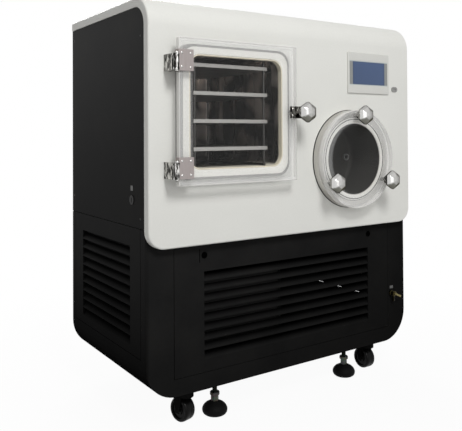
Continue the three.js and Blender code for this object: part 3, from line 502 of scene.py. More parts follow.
def door_depth_in(finish):
    """How far a point lies in from the rim of the clear door."""
    _, high, centre = extent("door_panel")
    x, _, z = finish.axes()
    across = high.x - centre.x - abs(x - centre.x)
    return across.least(high.z - centre.z - abs(z - centre.z))


def disc_depth_in(finish):
    """How far a point lies in from the rim of the clear disc."""
    _, high, centre = extent("trap_door")
    x, _, z = finish.axes()
    from_axis = ((x - centre.x) ** 2 + (z - centre.z) ** 2) ** 0.5
    return high.x - centre.x - from_axis


def chamber_interior(name):
    """Dark mirror steel with painted reflections in upright grey streaks and soft brown patches, painted
    shade that darkens it downwards, and a painted cream pool of light where light falls in.
    """
    low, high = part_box("drying_chamber")
    sill = low.z + sizes().opening_margin
    tone = colours().chamber_steel
    finish = Finish(name)
    _, y, z = finish.axes()
    # Painted reflections: upright grey streaks and soft brown patches.
    streaks = finish.bands(26.0, 26.0, 3.0).over(0.50, 0.60)
    broken = finish.bands(8.0, 8.0, 12.0).over(0.42, 0.58)
    patches = finish.noise(9.0, 1.0, 0.4).over(0.52, 0.66)
    dark = finish.between(streaks * broken, shade(tone, 0.4), shade(tone, 4.0))
    dark = finish.between(patches, dark, (0.92, 0.80, 0.72))
    # Painted shade: darker towards the bottom.
    dark = finish.between(z.over(high.z - 100 * MM, low.z), dark, shade(tone, 0.2))
    # Painted light: cream on the floor near the opening and on the front strip, where light falls in.
    floor = z.over(sill + 12 * MM, sill + 3 * MM) * y.over(low.y + 300 * MM, low.y + 50 * MM)
    lit = floor.most(y.over(low.y + 22 * MM, low.y + 14 * MM))
    finish.set(
        Base_Color=finish.between(lit, dark, (0.80, 0.76, 0.64)), Metallic=0.7 * (1.0 - lit),
        Roughness=(0.22 + 0.14 * streaks).most(0.6 * lit),
    )
    finish.bump(finish.noise(14.0, 2.0), 0.0006, 0.25)
    return finish


def plain_plastic(name, tone, grain, gloss, scuff=0.5, shine=0.5):
    """Moulded plastic or rubber with a fine grain and slight scuffs."""
    finish = Finish(name, Specular_IOR_Level=shine)
    fine = finish.noise(grain, 2.0)
    scuffs = finish.noise(35.0, 5.0, 0.6).over(0.5, 0.78)
    tint = finish.between(fine, shade(tone, 0.88), shade(tone, 1.1))
    finish.set(
        Base_Color=finish.between(scuffs * scuff, tint, shade(tone, 1.7)),
        Roughness=gloss + 0.12 * scuffs,
    )
    finish.bump(fine, 0.0002, 0.4)
    return finish


def tarnished_brass(name, share=1.0, dark_below=None):
    """Tarnished brass, nearly black under a height if one is given."""
    tone = shade(colours().brass, share)
    finish = Finish(name, Metallic=1.0)
    tarnish = finish.noise(90.0, 4.0).over(0.4, 0.75)
    tint = finish.between(tarnish, tone, shade(tone, 0.5))
    if dark_below:
        z = finish.axes()[2]
        tint = finish.between(z.over(dark_below, dark_below - 6 * MM), tint, shade(tone, 0.1))
    finish.set(Base_Color=tint, Roughness=0.26 + 0.25 * tarnish)
    finish.bump(finish.noise(500.0), 0.0001, 0.3)
    return finish


def finned_metal(name):
    """A packed block of thin fins, seen as close upright lines, nearly black as painted shade of the inside
    of the cabinet.
    """
    finish = Finish(name, Metallic=0.8)
    fin_pitch = 3.5 * MM
    fins = (finish.axes()[0] * (2 * pi / fin_pitch)).sine().over(-1.0, 1.0)
    dust = finish.noise(25.0, 4.0)
    # Painted shade: fins nearly black, darker still between them.
    tint = finish.between(fins, (0.002, 0.002, 0.002), (0.009, 0.009, 0.0085))
    tint = finish.between(dust * 0.4, tint, (0.012, 0.0115, 0.010))
    finish.set(Base_Color=tint, Roughness=0.5 + 0.2 * dust)
    finish.bump(fins, 0.0008, 0.6)
    return finish


FINISHES = {}


def finish_table():
    """Every finish: the function that makes it, and what it is given after its name."""
    tones = colours()
    steel = tones.steel
    front, rear = (corner.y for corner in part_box("base_frame"))
    left, right = (corner.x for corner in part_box("base_frame"))
    return {
        "white_paint": (powder_coat, tones.white_paint, 420, 0.36, 0.35, (0.60, 0.60, 0.57), 0.10),
        "black_paint": (black_coat,),
        "front_louvres": (black_coat, 1, front, -1, 0.8),
        "rear_louvres": (black_coat, 1, rear, 1, 0.8),
        "left_louvres": (black_coat, 0, left, -1, 0.65),
        "right_louvres": (black_coat, 0, right, 1, 0.65),
        "satin_flange": (brushed_steel, steel, 0.34, "x", 0.05),
        # The chamber's flange, shelves and rack take the steel at lower tones: painted shade in and round
        # the chamber.
        "chamber_flange": (brushed_steel, shade(steel, 0.34), 0.26, "z"),
        "shelf_steel": (brushed_steel, shade(steel, 0.6), 0.34, "x"),
        "rack_steel": (brushed_steel, shade(steel, 0.10), 0.3, "z"),
        "hinge_steel": (brushed_steel, tones.leaf_steel, 0.34, "z"),
        "bare_plate": (brushed_steel, (0.11, 0.11, 0.108), 0.45, "x"),
        "polished_steel": (polished_steel,),
        "streaked_steel": (streaked_steel,),
        "chamber_interior": (chamber_interior,),
        "trap_interior": (plain_plastic, shade(tones.trap_steel, 0.75), 60, 0.6, 0.1, 0.1),
        "zinc_plate": (zinc_plate, (0.25, 0.25, 0.24)),
        "dark_zinc": (zinc_plate, (0.075, 0.073, 0.068)),
        "stud_zinc": (zinc_plate, (0.055, 0.054, 0.045)),
        "finned_metal": (finned_metal,),
        "brass": (tarnished_brass,),
        "dull_brass": (tarnished_brass, 0.35, middle("drain_lever").z),
        "silicone": (plain_plastic, tones.silicone, 300, 0.5, 0.08),
        "seal_lip": (plain_plastic, tones.lip, 300, 0.45, 0.15),
        # Sealant beads and grooves, their dark partly painted shade of the joints.
        "grey_sealant": (plain_plastic, (0.33, 0.33, 0.32), 500, 0.6, 0.1, 0.1),
        "dark_sealant": (plain_plastic, (0.03, 0.029, 0.027), 500, 0.6, 0.1, 0.1),
        # Painted shade: black sheets that keep the louvre gaps dark.
        "vent_foam": (plain_plastic, (0.004, 0.004, 0.004), 700, 0.9, 0.1, 0.05),
        "black_rubber": (plain_plastic, (0.005, 0.005, 0.005), 900, 0.6, 0.3, 0.05),
        "latch_black": (plain_plastic, (0.001, 0.001, 0.001), 900, 0.6, 0.1, 0.0),
        "black_plastic": (plain_plastic, (0.003, 0.003, 0.003), 900, 0.30, 0.25, 0.08),
        "grey_plastic": (plain_plastic, tones.bezel, 1400, 0.45, 0.05),
        "port_plastic": (plain_plastic, (0.28, 0.28, 0.27), 900, 0.4, 0.2),
        "display_glass": (display_panel,),
        "door_acrylic": (clear_acrylic, door_depth_in, 0.93),
        "disc_acrylic": (clear_acrylic, disc_depth_in, 0.8),
    }


def finish_of(name):
    """The material of that name, made the first time that it is asked for."""
    if name not in FINISHES:
        maker, *given = finish_table()[name]
        FINISHES[name] = maker(name, *given).material
    return FINISHES[name]


# ---- Shaping -----------------------------------------------------------------------------------------


def settle(bm, name, finishes, body, stands_for=(), smooth=38):
    """Turns a bmesh into a piece: finished, shaded, riding its body and standing for its solids."""
    mesh = bpy.data.meshes.new(name)
    bm.to_mesh(mesh)
    bm.free()
    for finish in [finishes] if isinstance(finishes, str) else finishes:
        mesh.materials.append(finish_of(finish))
    mesh.shade_smooth()
    mesh.set_sharp_from_angle(angle=radians(smooth))
    made = bpy.data.objects.new(name, mesh)
    bpy.context.scene.collection.objects.link(made)
    weighted = made.modifiers.new("face_weighted_normals", "WEIGHTED_NORMAL")
    weighted.keep_sharp = True
    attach(made, body)
    if stands_for:
        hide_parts(*stands_for)


def stand_in(bm, node, finishes, smooth=38):
    """Settles a bmesh as the fine shape that stands for one solid."""
    settle(bm, f"{node}_fine", finishes, body_of(node), [node], smooth)


def merged(node):
    """A bmesh of a solid, with its loose triangles joined and its flat faces made whole."""
    bm = bmesh.new()
    bm.from_mesh(NODES[node].data)
    bmesh.ops.remove_doubles(bm, verts=bm.verts, dist=1e-5)
    bmesh.ops.dissolve_limit(
        bm, angle_limit=radians(0.6), use_dissolve_boundaries=False, verts=bm.verts, edges=bm.edges
    )
    return bm


def sharp_edges(bm, angle=30):
    return [e for e in bm.edges if e.is_manifold and e.calc_face_angle(0) > radians(angle)]


def faces_of(items):
    """The faces that edges or points belong to, each once and in their order."""
    return list(dict.fromkeys(face for item in items for face in item.link_faces))


def round_edges(bm, geometry, width, segments=2, affect="EDGES"):
    bmesh.ops.bevel(
        bm, geom=geometry, offset=width, offset_type="OFFSET", segments=segments, profile=0.5,
        affect=affect, clamp_overlap=False, material=-1,
    )


def finished(node, finish, width, segments=2, angle=30):
    """A copy of a solid with its edges rounded, standing for it."""
    bm = merged(node)
    round_edges(bm, sharp_edges(bm, angle), width, segments)
    stand_in(bm, node, finish)


def outline(bm, centre, half_width, half_height, radius, y, steps):
    """A closed loop of edges round an upright rectangle with round corners."""
    known = set(bm.edges)
    place = Matrix.Translation((centre.x, y, centre.z)) @ Matrix.Rotation(pi / 2, 4, "X")
    made = bmesh.ops.create_grid(
        bm, x_segments=1, y_segments=1, size=1.0,
        matrix=place @ Matrix.Diagonal((half_width, half_height, 1, 1)),
    )
    round_edges(bm, made["verts"], radius, steps, "VERTICES")
    loop = [e for e in bm.edges if e not in known]
    bmesh.ops.delete(bm, geom=faces_of(loop), context="FACES_ONLY")
    return loop


def carry(vert, centre, before, after):
    """Moves a point of a round-cornered outline to its place on another one."""
    half_width, half_height, radius, _ = before
    x = vert.co.x - centre.x
    z = vert.co.z - centre.z
    across = (abs(x) - half_width + radius) / radius
    up = (abs(z) - half_height + radius) / radius
    half_width, half_height, radius, y = after
    vert.co.x = centre.x + copysign(half_width - radius + radius * across, x)
    vert.co.y = y
    vert.co.z = centre.z + copysign(half_height - radius + radius * up, z)


def lofted(bm, face, stations, steps=8, closed=False):
    """Draws one skin through round-cornered outlines about the middle of a front face.

    Each outline is half a width, half a height, a corner radius and a depth behind the face, in millimetres.
    """
    stations = [(*(v * MM for v in shape), face.y + back * MM) for *shape, back in stations]
    loop = outline(bm, face, *stations[0], steps)
    if closed:
        stations = [*stations, stations[0]]
    else:
        bmesh.ops.contextual_create(bm, geom=loop)
    for before, after in zip(stations, stations[1:]):
        made = bmesh.ops.extrude_edge_only(bm, edges=loop)["geom"]
        fresh = {v for v in made if isinstance(v, bmesh.types.BMVert)}
        loop = [e for e in made if isinstance(e, bmesh.types.BMEdge) and fresh.issuperset(e.verts)]
        for vert in fresh:
            carry(vert, face, before, after)
    if closed:
        bmesh.ops.remove_doubles(bm, verts=bm.verts, dist=1e-6)
    else:
        bmesh.ops.contextual_create(bm, geom=loop)
    bmesh.ops.recalc_face_normals(bm, faces=bm.faces)


def inset_from(node, *places):
    """Outlines for a loft, drawn in from a solid's sides: how far in, corner radius and how far back."""
    width, _, height = span(node)
    return [(width / 2 - inset, height / 2 - inset, radius, back) for inset, radius, back in places]


def turned(bm, profile, centre, along, steps=64):
    """Turns (radius, height) points in millimetres about an axis, and returns the new vertices."""
    across = along.orthogonal().normalized()
    known = set(bm.verts)
    points = [bm.verts.new(centre + (across * radius + along * height) * MM) for radius, height in profile]
    lines = [bm.edges.new(pair) for pair in zip(points, points[1:])]
    bmesh.ops.spin(
        bm, geom=points + lines, cent=centre, axis=along, angle=2 * pi, steps=steps, use_merge=True,
        dvec=(0, 0, 0), use_normal_flip=False, use_duplicate=False,
    )
    bmesh.ops.remove_doubles(bm, verts=[v for v in bm.verts if v not in known], dist=1e-6)
    fresh = [v for v in bm.verts if v not in known]
    bmesh.ops.recalc_face_normals(bm, faces=faces_of(fresh))
    return fresh


def scaled(points, radius, height):
    """Profile points given as shares of a radius and of a height."""
    return [(across * radius, up * height) for across, up in points]


def block(bm, low, high, edge, segments=2):
    """A block between two corners with rounded edges."""
    low, high = Vector(low), Vector(high)
    made = bmesh.ops.create_cube(
        bm, size=1.0, matrix=Matrix.Translation((low + high) / 2) @ Matrix.Diagonal((*(high - low), 1))
    )
    edges = list(dict.fromkeys(e for v in made["verts"] for e in v.link_edges))
    round_edges(bm, edges, edge, segments)


def screw(bm, seat, out, radius, height):
    """A pan-head screw with a sunk round drive, standing on its seat and pointing out."""
    turned(bm, scaled([
        (0, 0), (1, 0), (1, 0.35), (0.86, 0.78), (0.62, 1), (0.5, 1), (0.4, 0.35), (0, 0.3),
    ], radius, height), Vector(seat), out, 20)


# ---- Pieces ------------------------------------------------------------------------------------------


class DRYER_OT_hood(bpy.types.Operator):
    """White one-piece hood with softly rounded outer edges"""

    bl_idname = "dryer.hood"
    bl_label = "Hood"

    def execute(self, context):
        low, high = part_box("hood")
        bm = merged("hood")
        outer = [e for e in sharp_edges(bm) if self.on_outline(e, low, high)]
        if not outer:
            raise RuntimeError("the hood has no outer edges to round")
        round_edges(bm, outer, sizes().hood_edge, 5)
        round_edges(bm, sharp_edges(bm, 50), sizes().sheet_edge)
        stand_in(bm, "hood", "white_paint", 42)
        return {"FINISHED"}

    @staticmethod
    def on_outline(edge, low, high):
        """Whether an edge lies on the outer edge of the front, the bend or the top."""
        near = 0.2 * MM
        bend = 92 * MM
        corner = 56 * MM
        place = (edge.verts[0].co + edge.verts[1].co) / 2
        from_side = min(place.x - low.x, high.x - place.x)
        from_foot = place.z - low.z
        side = from_side < near
        outside = side or from_foot < near or max(from_side, from_foot) < corner
        spans = [(v.co.y - low.y - bend, v.co.z - high.z + bend) for v in edge.verts]
        on_bend = all(abs((y * y + z * z) ** 0.5 - bend) < near for y, z in spans)
        on_front = all(v.co.y - low.y < near for v in edge.verts)
        on_top = all(high.z - v.co.z < near for v in edge.verts)
        return (on_front and outside) or (side and (on_top or on_bend))


class DRYER_OT_cabinet(bpy.types.Operator):
    """Black base, side panels and louvred rear panel of the cabinet, on their inner frame"""

    bl_idname = "dryer.cabinet"
    bl_label = "Cabinet"

    def execute(self, context):
        edge = sizes().sheet_edge
        finished("base_frame", "black_paint", 1.4 * edge, 3)
        for side in ("left", "right"):
            finished(f"side_panel_upper_{side}", "black_paint", edge)
        for side in ("left", "right"):
            finished(f"side_panel_lower_{side}", f"{side}_louvres", 0.5 * edge)
        finished("rear_panel", "rear_louvres", 0.5 * edge)
        finished("inner_frame", "zinc_plate", 0.4 * edge)
        return {"FINISHED"}


class DRYER_OT_front_panel(bpy.types.Operator):
    """Lower louvred front panel with its two quarter-turn latches, and the latch on the left side"""

    bl_idname = "dryer.front_panel"
    bl_label = "Front panel and latches"

    def execute(self, context):
        edge = sizes().machined_edge
        finished("front_panel", "front_louvres", 0.5 * sizes().sheet_edge)
        finished("front_latch_left", "latch_black", edge, 3)
        finished("front_latch_right", "latch_black", edge, 3)
        finished("side_latch", "black_plastic", edge, 3)
        self.slot_strip()
        return {"FINISHED"}

    @staticmethod
    def slot_strip():
        """A narrow black strip beside the left latch."""
        latch = middle("front_latch_left")
        place = Vector((latch.x - 17 * MM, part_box("front_panel")[0].y, latch.z - 8 * MM))
        bm = bmesh.new()
        block(bm, place - MM * Vector((1, 0.7, 21)), place + MM * Vector((1, 0.1, 21)), 0.2 * MM)
        settle(bm, "panel_strip", "latch_black", "lower_front_panel")


class DRYER_OT_drying_chamber(bpy.types.Operator):
    """Steel chamber with its flange, seal, shelves, rack and heating pipes"""

    bl_idname = "dryer.drying_chamber"
    bl_label = "Drying chamber"

    def execute(self, context):
        self.make_chamber()
        self.make_seal()
        self.make_bead()
        for i in range(1, 5):
            finished(f"shelf_{i}", "shelf_steel", sizes().machined_edge)
        finished("shelf_rack", "rack_steel", 0.3 * MM, 1)
        finished("oil_supply_pipe", "dark_zinc", 0.3 * MM, 1, 60)
        finished("oil_return_pipe", "dark_zinc", 0.3 * MM, 1, 60)
        return {"FINISHED"}

    @staticmethod
    def round_opening(*places):
        """Outlines round the chamber's opening: how far out, how far back, and any more radius."""
        width, _, height = span("drying_chamber")
        margin = sizes().opening_margin / MM
        wall = sizes().chamber_wall / MM
        corner = sizes().opening_radius / MM
        return [
            (width / 2 - margin + out, height / 2 - margin + out, corner + min(out, wall) + sum(more), back)
            for out, back, *more in places
        ]

    def make_chamber(self):
        """The chamber and its flange in one skin, with its own finish on the inside."""
        margin = sizes().opening_margin / MM
        wall = sizes().chamber_wall / MM
        bend = sizes().chamber_bend / MM
        depth = span("drying_chamber").y
        face = front_of("drying_chamber")
        flange = to_hood(face) - HOOD_GAP
        rear = depth - wall
        rounded = [
            (-bend * (1 - cos(turn)), rear - bend * (1 - sin(turn)))
            for turn in [radians(a) for a in (75, 60, 45, 30, 15, 0)]
        ]
        bm = bmesh.new()
        lofted(bm, face, self.round_opening(
            (-bend, rear), *rounded, (0, 2), (0.6, 0.6), (2, 0), (margin - 1.5, 0), (margin - 0.4, 0.4),
            (margin, 1.5), (margin, flange), (wall, flange), (wall, depth),
        ))
        half_width, half_height, *_ = self.round_opening((0.5, 0))[0]
        for part in bm.faces:
            place = (part.calc_center_median() - face) / MM
            inside = abs(place.x) < half_width and abs(place.z) < half_height and 1 < place.y < rear + 1
            part.material_index = 1 if inside else 0
        stand_in(bm, "drying_chamber", ["chamber_flange", "chamber_interior"])

    def make_bead(self):
        """A thin grey sealing bead where the flange meets the hood, its grey partly painted shade of the
        joint.
        """
        margin = sizes().opening_margin / MM
        bead = sizes().bead / MM
        face = front_of("drying_chamber")
        hood = to_hood(face)
        bm = bmesh.new()
        lofted(bm, face, self.round_opening(
            (margin + 0.1, hood - 0.1), (margin + 0.1, hood - 1.6 * bead),
            (margin + 0.5 * bead, hood - 1.2 * bead, 0.4 * bead), (margin + bead, hood - 0.1, 0.9 * bead),
        ), closed=True)
        settle(bm, "chamber_bead", "grey_sealant", "cabinet")

    def make_seal(self):
        """A white gasket with rounded faces, and its cream inner lip."""
        face = front_of("chamber_seal")
        width, depth, _ = span("chamber_seal")
        inner = 3
        outer = width / 2 - self.round_opening((0, 0))[0][0]
        bm = bmesh.new()
        lofted(bm, face, self.round_opening(
            (inner, depth), (inner, 0.45 * depth), (inner + 0.7, 0.15 * depth), (inner + 2.2, 0),
            (outer - 2.2, 0), (outer - 0.7, 0.15 * depth), (outer, 0.45 * depth), (outer, depth),
        ), closed=True)
        stand_in(bm, "chamber_seal", "silicone")
        bm = bmesh.new()
        lofted(bm, face, self.round_opening(
            (-0.05, depth + 16), (-1.4, depth + 15), (-1.4, 1.6), (-0.8, 0.8), (0.8, 0.4), (2.2, 0.8),
            (2.6, depth), (-0.05, depth),
        ), closed=True)
        settle(bm, "chamber_seal_lip", "seal_lip", "cabinet")


class DRYER_OT_chamber_door(bpy.types.Operator):
    """Clear door on two steel hinges, with its clamping lug and boss"""

    bl_idname = "dryer.chamber_door"
    bl_label = "Chamber door"

    def execute(self, context):
        machined = sizes().machined_edge
        edge = sizes().acrylic_edge / MM
        depth = span("door_panel").y
        corner = 5
        bm = bmesh.new()
        lofted(bm, front_of("door_panel"), inset_from(
            "door_panel", (edge, corner - edge, depth), (0, corner, depth - edge), (0, corner, edge),
            (edge, corner - edge, 0),
        ), steps=4)
        stand_in(bm, "door_panel", "door_acrylic", 30)
        for side in ("lower", "upper"):
            finished(f"hinge_bracket_{side}", "streaked_steel", machined)
            self.make_leaf(f"hinge_leaf_{side}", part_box("door_panel")[0].x)
            self.make_pin(f"hinge_pin_{side}")
        finished("clamp_lug", "streaked_steel", machined, 3)
        finished("clamp_boss", "streaked_steel", machined, 3)
        return {"FINISHED"}

    @staticmethod
    def make_leaf(node, door_edge):
        """A hinge leaf, in mirror steel as far as its knuckle goes and brushed where it lies on the door."""
        bm = merged(node)
        round_edges(bm, sharp_edges(bm), sizes().machined_edge)
        for face in bm.faces:
            face.material_index = 1 if face.calc_center_median().x < door_edge - 5 * MM else 0
        stand_in(bm, node, ["hinge_steel", "streaked_steel"])

    @staticmethod
    def make_pin(node):
        """A hinge pin: a plain shaft with the same domed head at both ends."""
        width, _, height = span(node)
        head = width / 2
        half = height / 2
        shaft = 4
        rise = 5
        top = [
            (shaft, half - rise), (head - 0.3, half - rise), (head, half - rise + 0.4),
            (head, half - 0.55 * rise), (0.88 * head, half - 0.2 * rise), (0.6 * head, half), (0, half),
        ]
        bm = bmesh.new()
        turned(bm, [(radius, -up) for radius, up in reversed(top)] + top, middle(node), Z, 32)
        stand_in(bm, node, "polished_steel")


class DRYER_OT_knobs(bpy.types.Operator):
    """Polished six-sided domed clamping knobs of the chamber door and the cold trap"""

    bl_idname = "dryer.knobs"
    bl_label = "Clamping knobs"

    def execute(self, context):
        self.make_knob("clamp_knob", "door_panel", 6)
        for i in range(1, 4):
            self.make_knob(f"trap_knob_{i}", "trap_door", 0)
        return {"FINISHED"}

    def make_knob(self, node, clamped, stand_off):
        """A knob whose collar ends a little before the piece that it clamps, and further off if asked."""
        width, length, height = span(node)
        corner = height / 2
        flat = width / 2
        depth = sizes().knob_depth / MM
        back = front_of(node) + Y * depth * MM
        collar = (back.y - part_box(clamped)[0].y) / MM + 0.6 + stand_off
        stud = depth - length
        bm = bmesh.new()
        head = turned(bm, scaled([
            (0, 0), (0.62, 0), (0.68, 0.01), (0.92, 0.115), (0.965, 0.17), (0.998, 0.36), (1, 0.42),
            (0.985, 0.46), (0.84, 0.70), (0.80, 0.745), (0.54, 0.915), (0.46, 0.945), (0.20, 0.985),
            (0, 0.995),
        ], corner, depth), back, -Y, 96)
        for vert in head:
            self.draw_to_flats(vert, back, corner, flat)
        turned(bm, [
            (0, collar), (13.2, collar), (14, collar + 0.8), (14, -3), (16.5, -1.2), (16.5, 1), (0, 1),
        ], back, -Y, 48)
        turned(bm, [(0, collar + 1), (6, collar + 1), (6, stud + 1), (5, stud), (0, stud)], back, -Y, 32)
        stand_in(bm, node, "polished_steel", 20)

    @staticmethod
    def draw_to_flats(vert, back, corner, flat):
        """Draws a point of the round head in to the nearest of the six flats, less so at the very tip."""
        across = Vector((vert.co.x - back.x, 0, vert.co.z - back.z))
        reach = across.length / MM
        if reach < 0.1:
            return
        sixth = pi / 3
        turn = atan2(across.z, across.x)
        from_flat = turn - sixth * round(turn / sixth)
        share = min(1.0, flat / (corner * cos(from_flat)))
        vert.co -= across * (1.0 - share) * min(1.0, reach / (0.3 * corner))


class DRYER_OT_cold_trap(bpy.types.Operator):
    """Round cold trap with its flange, seal, rear port and clear lift-off disc"""

    bl_idname = "dryer.cold_trap"
    bl_label = "Cold trap"

    def execute(self, context):
        self.make_vessel()
        self.make_port()
        self.make_seal()
        self.make_disc()
        return {"FINISHED"}

    @staticmethod
    def make_vessel():
        """The vessel with its flange, a groove outside its seal, and the bead round it on the hood, the
        groove and the bead dark with painted shade.
        """
        bore = sizes().trap_radius / MM
        wall = sizes().trap_wall / MM
        bead = sizes().bead / MM
        face = front_of("cold_trap")
        width, depth, _ = span("cold_trap")
        rim = width / 2 - 0.1
        floor = depth - wall
        flange = to_hood(face) - HOOD_GAP
        bend = 14
        groove = span("trap_seal").x / 2 + 2
        rounded = [
            (bore - bend + bend * sin(turn), floor - bend + bend * cos(turn))
            for turn in [radians(15 * i) for i in range(7)]
        ]
        bm = bmesh.new()
        turned(bm, [
            (0, floor), *rounded, (bore, 1.5), (bore + 0.5, 0.4), (bore + 1.6, 0), (groove - 1.8, 0),
            (groove - 1.8, 1), (groove, 1), (groove, 0), (rim - 2, 0), (rim - 0.6, 0.6), (rim, 2),
            (rim, flange), (bore + wall, flange), (bore + wall, depth), (0, depth),
        ], face, Y, 96)
        for part in bm.faces:
            place = (part.calc_center_median() - face) / MM
            across = Vector((place.x, place.z)).length
            part.material_index = 1 if across < bore + 0.2 and place.y < floor + 1 else 0
            # Painted shade: the groove's faces are dark.
            if groove - 1.9 < across < groove + 0.1 and 0.2 < place.y < 1.2:
                part.material_index = 2
        stand_in(bm, "cold_trap", ["satin_flange", "trap_interior", "dark_sealant"])
        # The bead's dark is painted shade where the flange meets the hood.
        back = to_hood(face) - 0.1
        bm = bmesh.new()
        turned(bm, [
            (rim + 0.1, back), (rim + 0.1, back - 1.6 * bead), (rim + 0.5 * bead, back - 1.2 * bead),
            (rim + bead, back), (rim + 0.1, back),
        ], face, Y, 96)
        settle(bm, "trap_bead", "dark_sealant", "cabinet")

    @staticmethod
    def make_port():
        """The short vacuum port in the floor of the trap, and its dark mouth."""
        floor = span("cold_trap").y - sizes().trap_wall / MM
        port = front_of("cold_trap") + MM * Vector((100, floor, 0))
        bm = bmesh.new()
        turned(bm, [(9, 0), (9, -7.2), (9.6, -8), (12.2, -8), (13, -7.2), (13, 0), (9, 0)], port, Y, 40)
        settle(bm, "trap_port_ring", "port_plastic", "cabinet")
        bm = bmesh.new()
        turned(bm, [(0, 0.2), (8.9, 0.2), (8.9, -0.4), (0, -0.4)], port, Y, 32)
        settle(bm, "trap_port_mouth", "black_rubber", "cabinet")

    @staticmethod
    def make_seal():
        """A white gasket with a moulded groove round it, dark with painted shade."""
        face = front_of("trap_seal")
        width, depth, _ = span("trap_seal")
        outer = width / 2 - 0.1
        inner = sizes().trap_radius / MM + 3
        groove = inner + 0.6 * (outer - inner)
        groove_end = groove + 4
        bm = bmesh.new()
        turned(bm, [
            (inner, depth), (inner, 0.45 * depth), (inner + 0.7, 0.15 * depth), (inner + 2, 0), (groove, 0),
            (groove, 0.5 * depth), (groove_end, 0.5 * depth), (groove_end, 0), (outer - 2, 0),
            (outer - 0.7, 0.15 * depth), (outer, 0.45 * depth), (outer, depth), (inner, depth),
        ], face, Y, 96)
        for part in bm.faces:
            place = (part.calc_center_median() - face) / MM
            across = Vector((place.x, place.z)).length
            # Painted shade: the groove's faces are dark.
            in_groove = groove - 0.1 < across < groove_end + 0.1 and 0.1 * depth < place.y < 0.6 * depth
            part.material_index = 1 if in_groove else 0
        stand_in(bm, "trap_seal", ["silicone", "dark_sealant"])

    @staticmethod
    def make_disc():
        """The clear disc, with a small chamfer on both edges."""
        width, depth, _ = span("trap_door")
        radius = width / 2 - 0.1
        edge = sizes().acrylic_edge / MM
        bm = bmesh.new()
        turned(bm, [
            (0, 0), (radius - edge, 0), (radius - 0.3 * edge, 0.3 * edge), (radius, edge),
            (radius, depth - edge), (radius - 0.3 * edge, depth - 0.3 * edge), (radius - edge, depth),
            (0, depth),
        ], front_of("trap_door"), Y, 96)
        stand_in(bm, "trap_door", "disc_acrylic", 25)


class DRYER_OT_touch_panel(bpy.types.Operator):
    """Touch panel in its grey bezel, and the data port beside it"""

    bl_idname = "dryer.touch_panel"
    bl_label = "Touch panel"

    def execute(self, context):
        face = front_of("panel_bezel")
        low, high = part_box("panel_screen")
        floor = (high.y - face.y) / MM + 0.3
        seat = to_hood(face) - HOOD_GAP
        housing = 12
        bm = bmesh.new()
        lofted(bm, face, [
            *inset_from("panel_screen", (-0.3, 0.6, floor), (-0.3, 0.6, 0.8), (-1.5, 1.8, 0)),
            *inset_from(
                "panel_bezel", (2.4, 2, 0), (0.8, 3.4, 0.7), (0, 4, 2.2), (0, 4, seat), (housing, 4, seat),
                (housing, 4, span("panel_bezel").y),
            ),
        ], steps=6)
        stand_in(bm, "panel_bezel", "grey_plastic")
        bm = bmesh.new()
        block(bm, low, high, 0.2 * MM, 1)
        stand_in(bm, "panel_screen", "display_glass")
        self.make_port()
        return {"FINISHED"}

    @staticmethod
    def make_port():
        """The data port: a round-sided cover with a shallow socket in it."""
        face = front_of("data_port")
        _, depth, height = span("data_port")
        radius = height / 2 - 0.3
        seat = to_hood(face) - HOOD_GAP
        bm = bmesh.new()
        lofted(bm, face, [
            (7.5, 3.2, 0.8, 2.6), (7.5, 3.2, 0.8, 0.3), (8.1, 3.8, 1.2, 0),
            *inset_from(
                "data_port", (1.6, radius - 1.6, 0), (0.4, radius - 0.4, 0.5), (0, radius, 1.4),
                (0, radius, seat),
            ),
            (6.5, 6.5, 6, seat), (6.5, 6.5, 6, depth),
        ], steps=6)
        stand_in(bm, "data_port", "port_plastic")


class DRYER_OT_drain_valve(bpy.types.Operator):
    """Brass drain valve with its lever handle"""

    bl_idname = "dryer.drain_valve"
    bl_label = "Drain valve"

    def execute(self, context):
        finished("drain_valve", "dull_brass", 0.5 * MM, 2, 40)
        finished("drain_lever", "brass", 0.5 * MM, 2, 40)
        _, high, centre = extent("drain_valve")
        spindle = Vector((centre.x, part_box("drain_lever")[0].y, high.z - 11 * MM))
        bm = bmesh.new()
        turned(bm, [(0, 1.2), (2.6, 1.2), (2.6, 0.5), (2.0, 0.1), (0, 0.1)], spindle, Y, 6)
        settle(bm, "drain_lever_nut", "zinc_plate", "drain_handle")
        return {"FINISHED"}


class DRYER_OT_castors(bpy.types.Operator):
    """Four swivelling castors with moulded wheels"""

    bl_idname = "dryer.castors"
    bl_label = "Castors"

    def execute(self, context):
        for corner in CORNERS:
            finished(f"castor_fork_{corner}", "black_paint", 0.8 * MM, 2, 40)
            self.make_wheel(corner)
        return {"FINISHED"}

    @staticmethod
    def make_wheel(corner):
        """A moulded wheel, and the nuts at both ends of its axle."""
        node = f"castor_wheel_{corner}"
        centre = middle(node)
        turn = sizes().front_left_turn if corner == "front_left" else 0.0
        axle = Vector((cos(turn), sin(turn), 0))
        radius = span(node).z / 2 - 0.05
        half = 21
        side = [
            (6.2, half - 3.0), (11, half - 3.0), (12, half - 0.6), (15, half - 0.6), (16, half - 4.5),
            (26, half - 5.2), (28, half - 0.9), (31, half), (radius - 3.5, half - 1.1),
            (radius - 1, half - 4), (radius, half - 8.5), (radius, half - 18.5), (radius - 0.9, half - 20),
        ]
        bm = bmesh.new()
        turned(bm, side + [(r, -h) for r, h in reversed(side)] + side[:1], centre, axle, 72)
        stand_in(bm, node, "black_plastic", 34)
        nut_seat = 25.8 * MM
        bm = bmesh.new()
        for out in (-axle, axle):
            turned(bm, [(0, 0), (5.2, 0), (5.2, 1.0), (4.4, 1.6), (0, 1.6)], centre + out * nut_seat, out, 6)
        fork = body_of(f"castor_fork_{corner}")
        settle(bm, f"castor_axle_nuts_{corner}", "dark_zinc", fork)


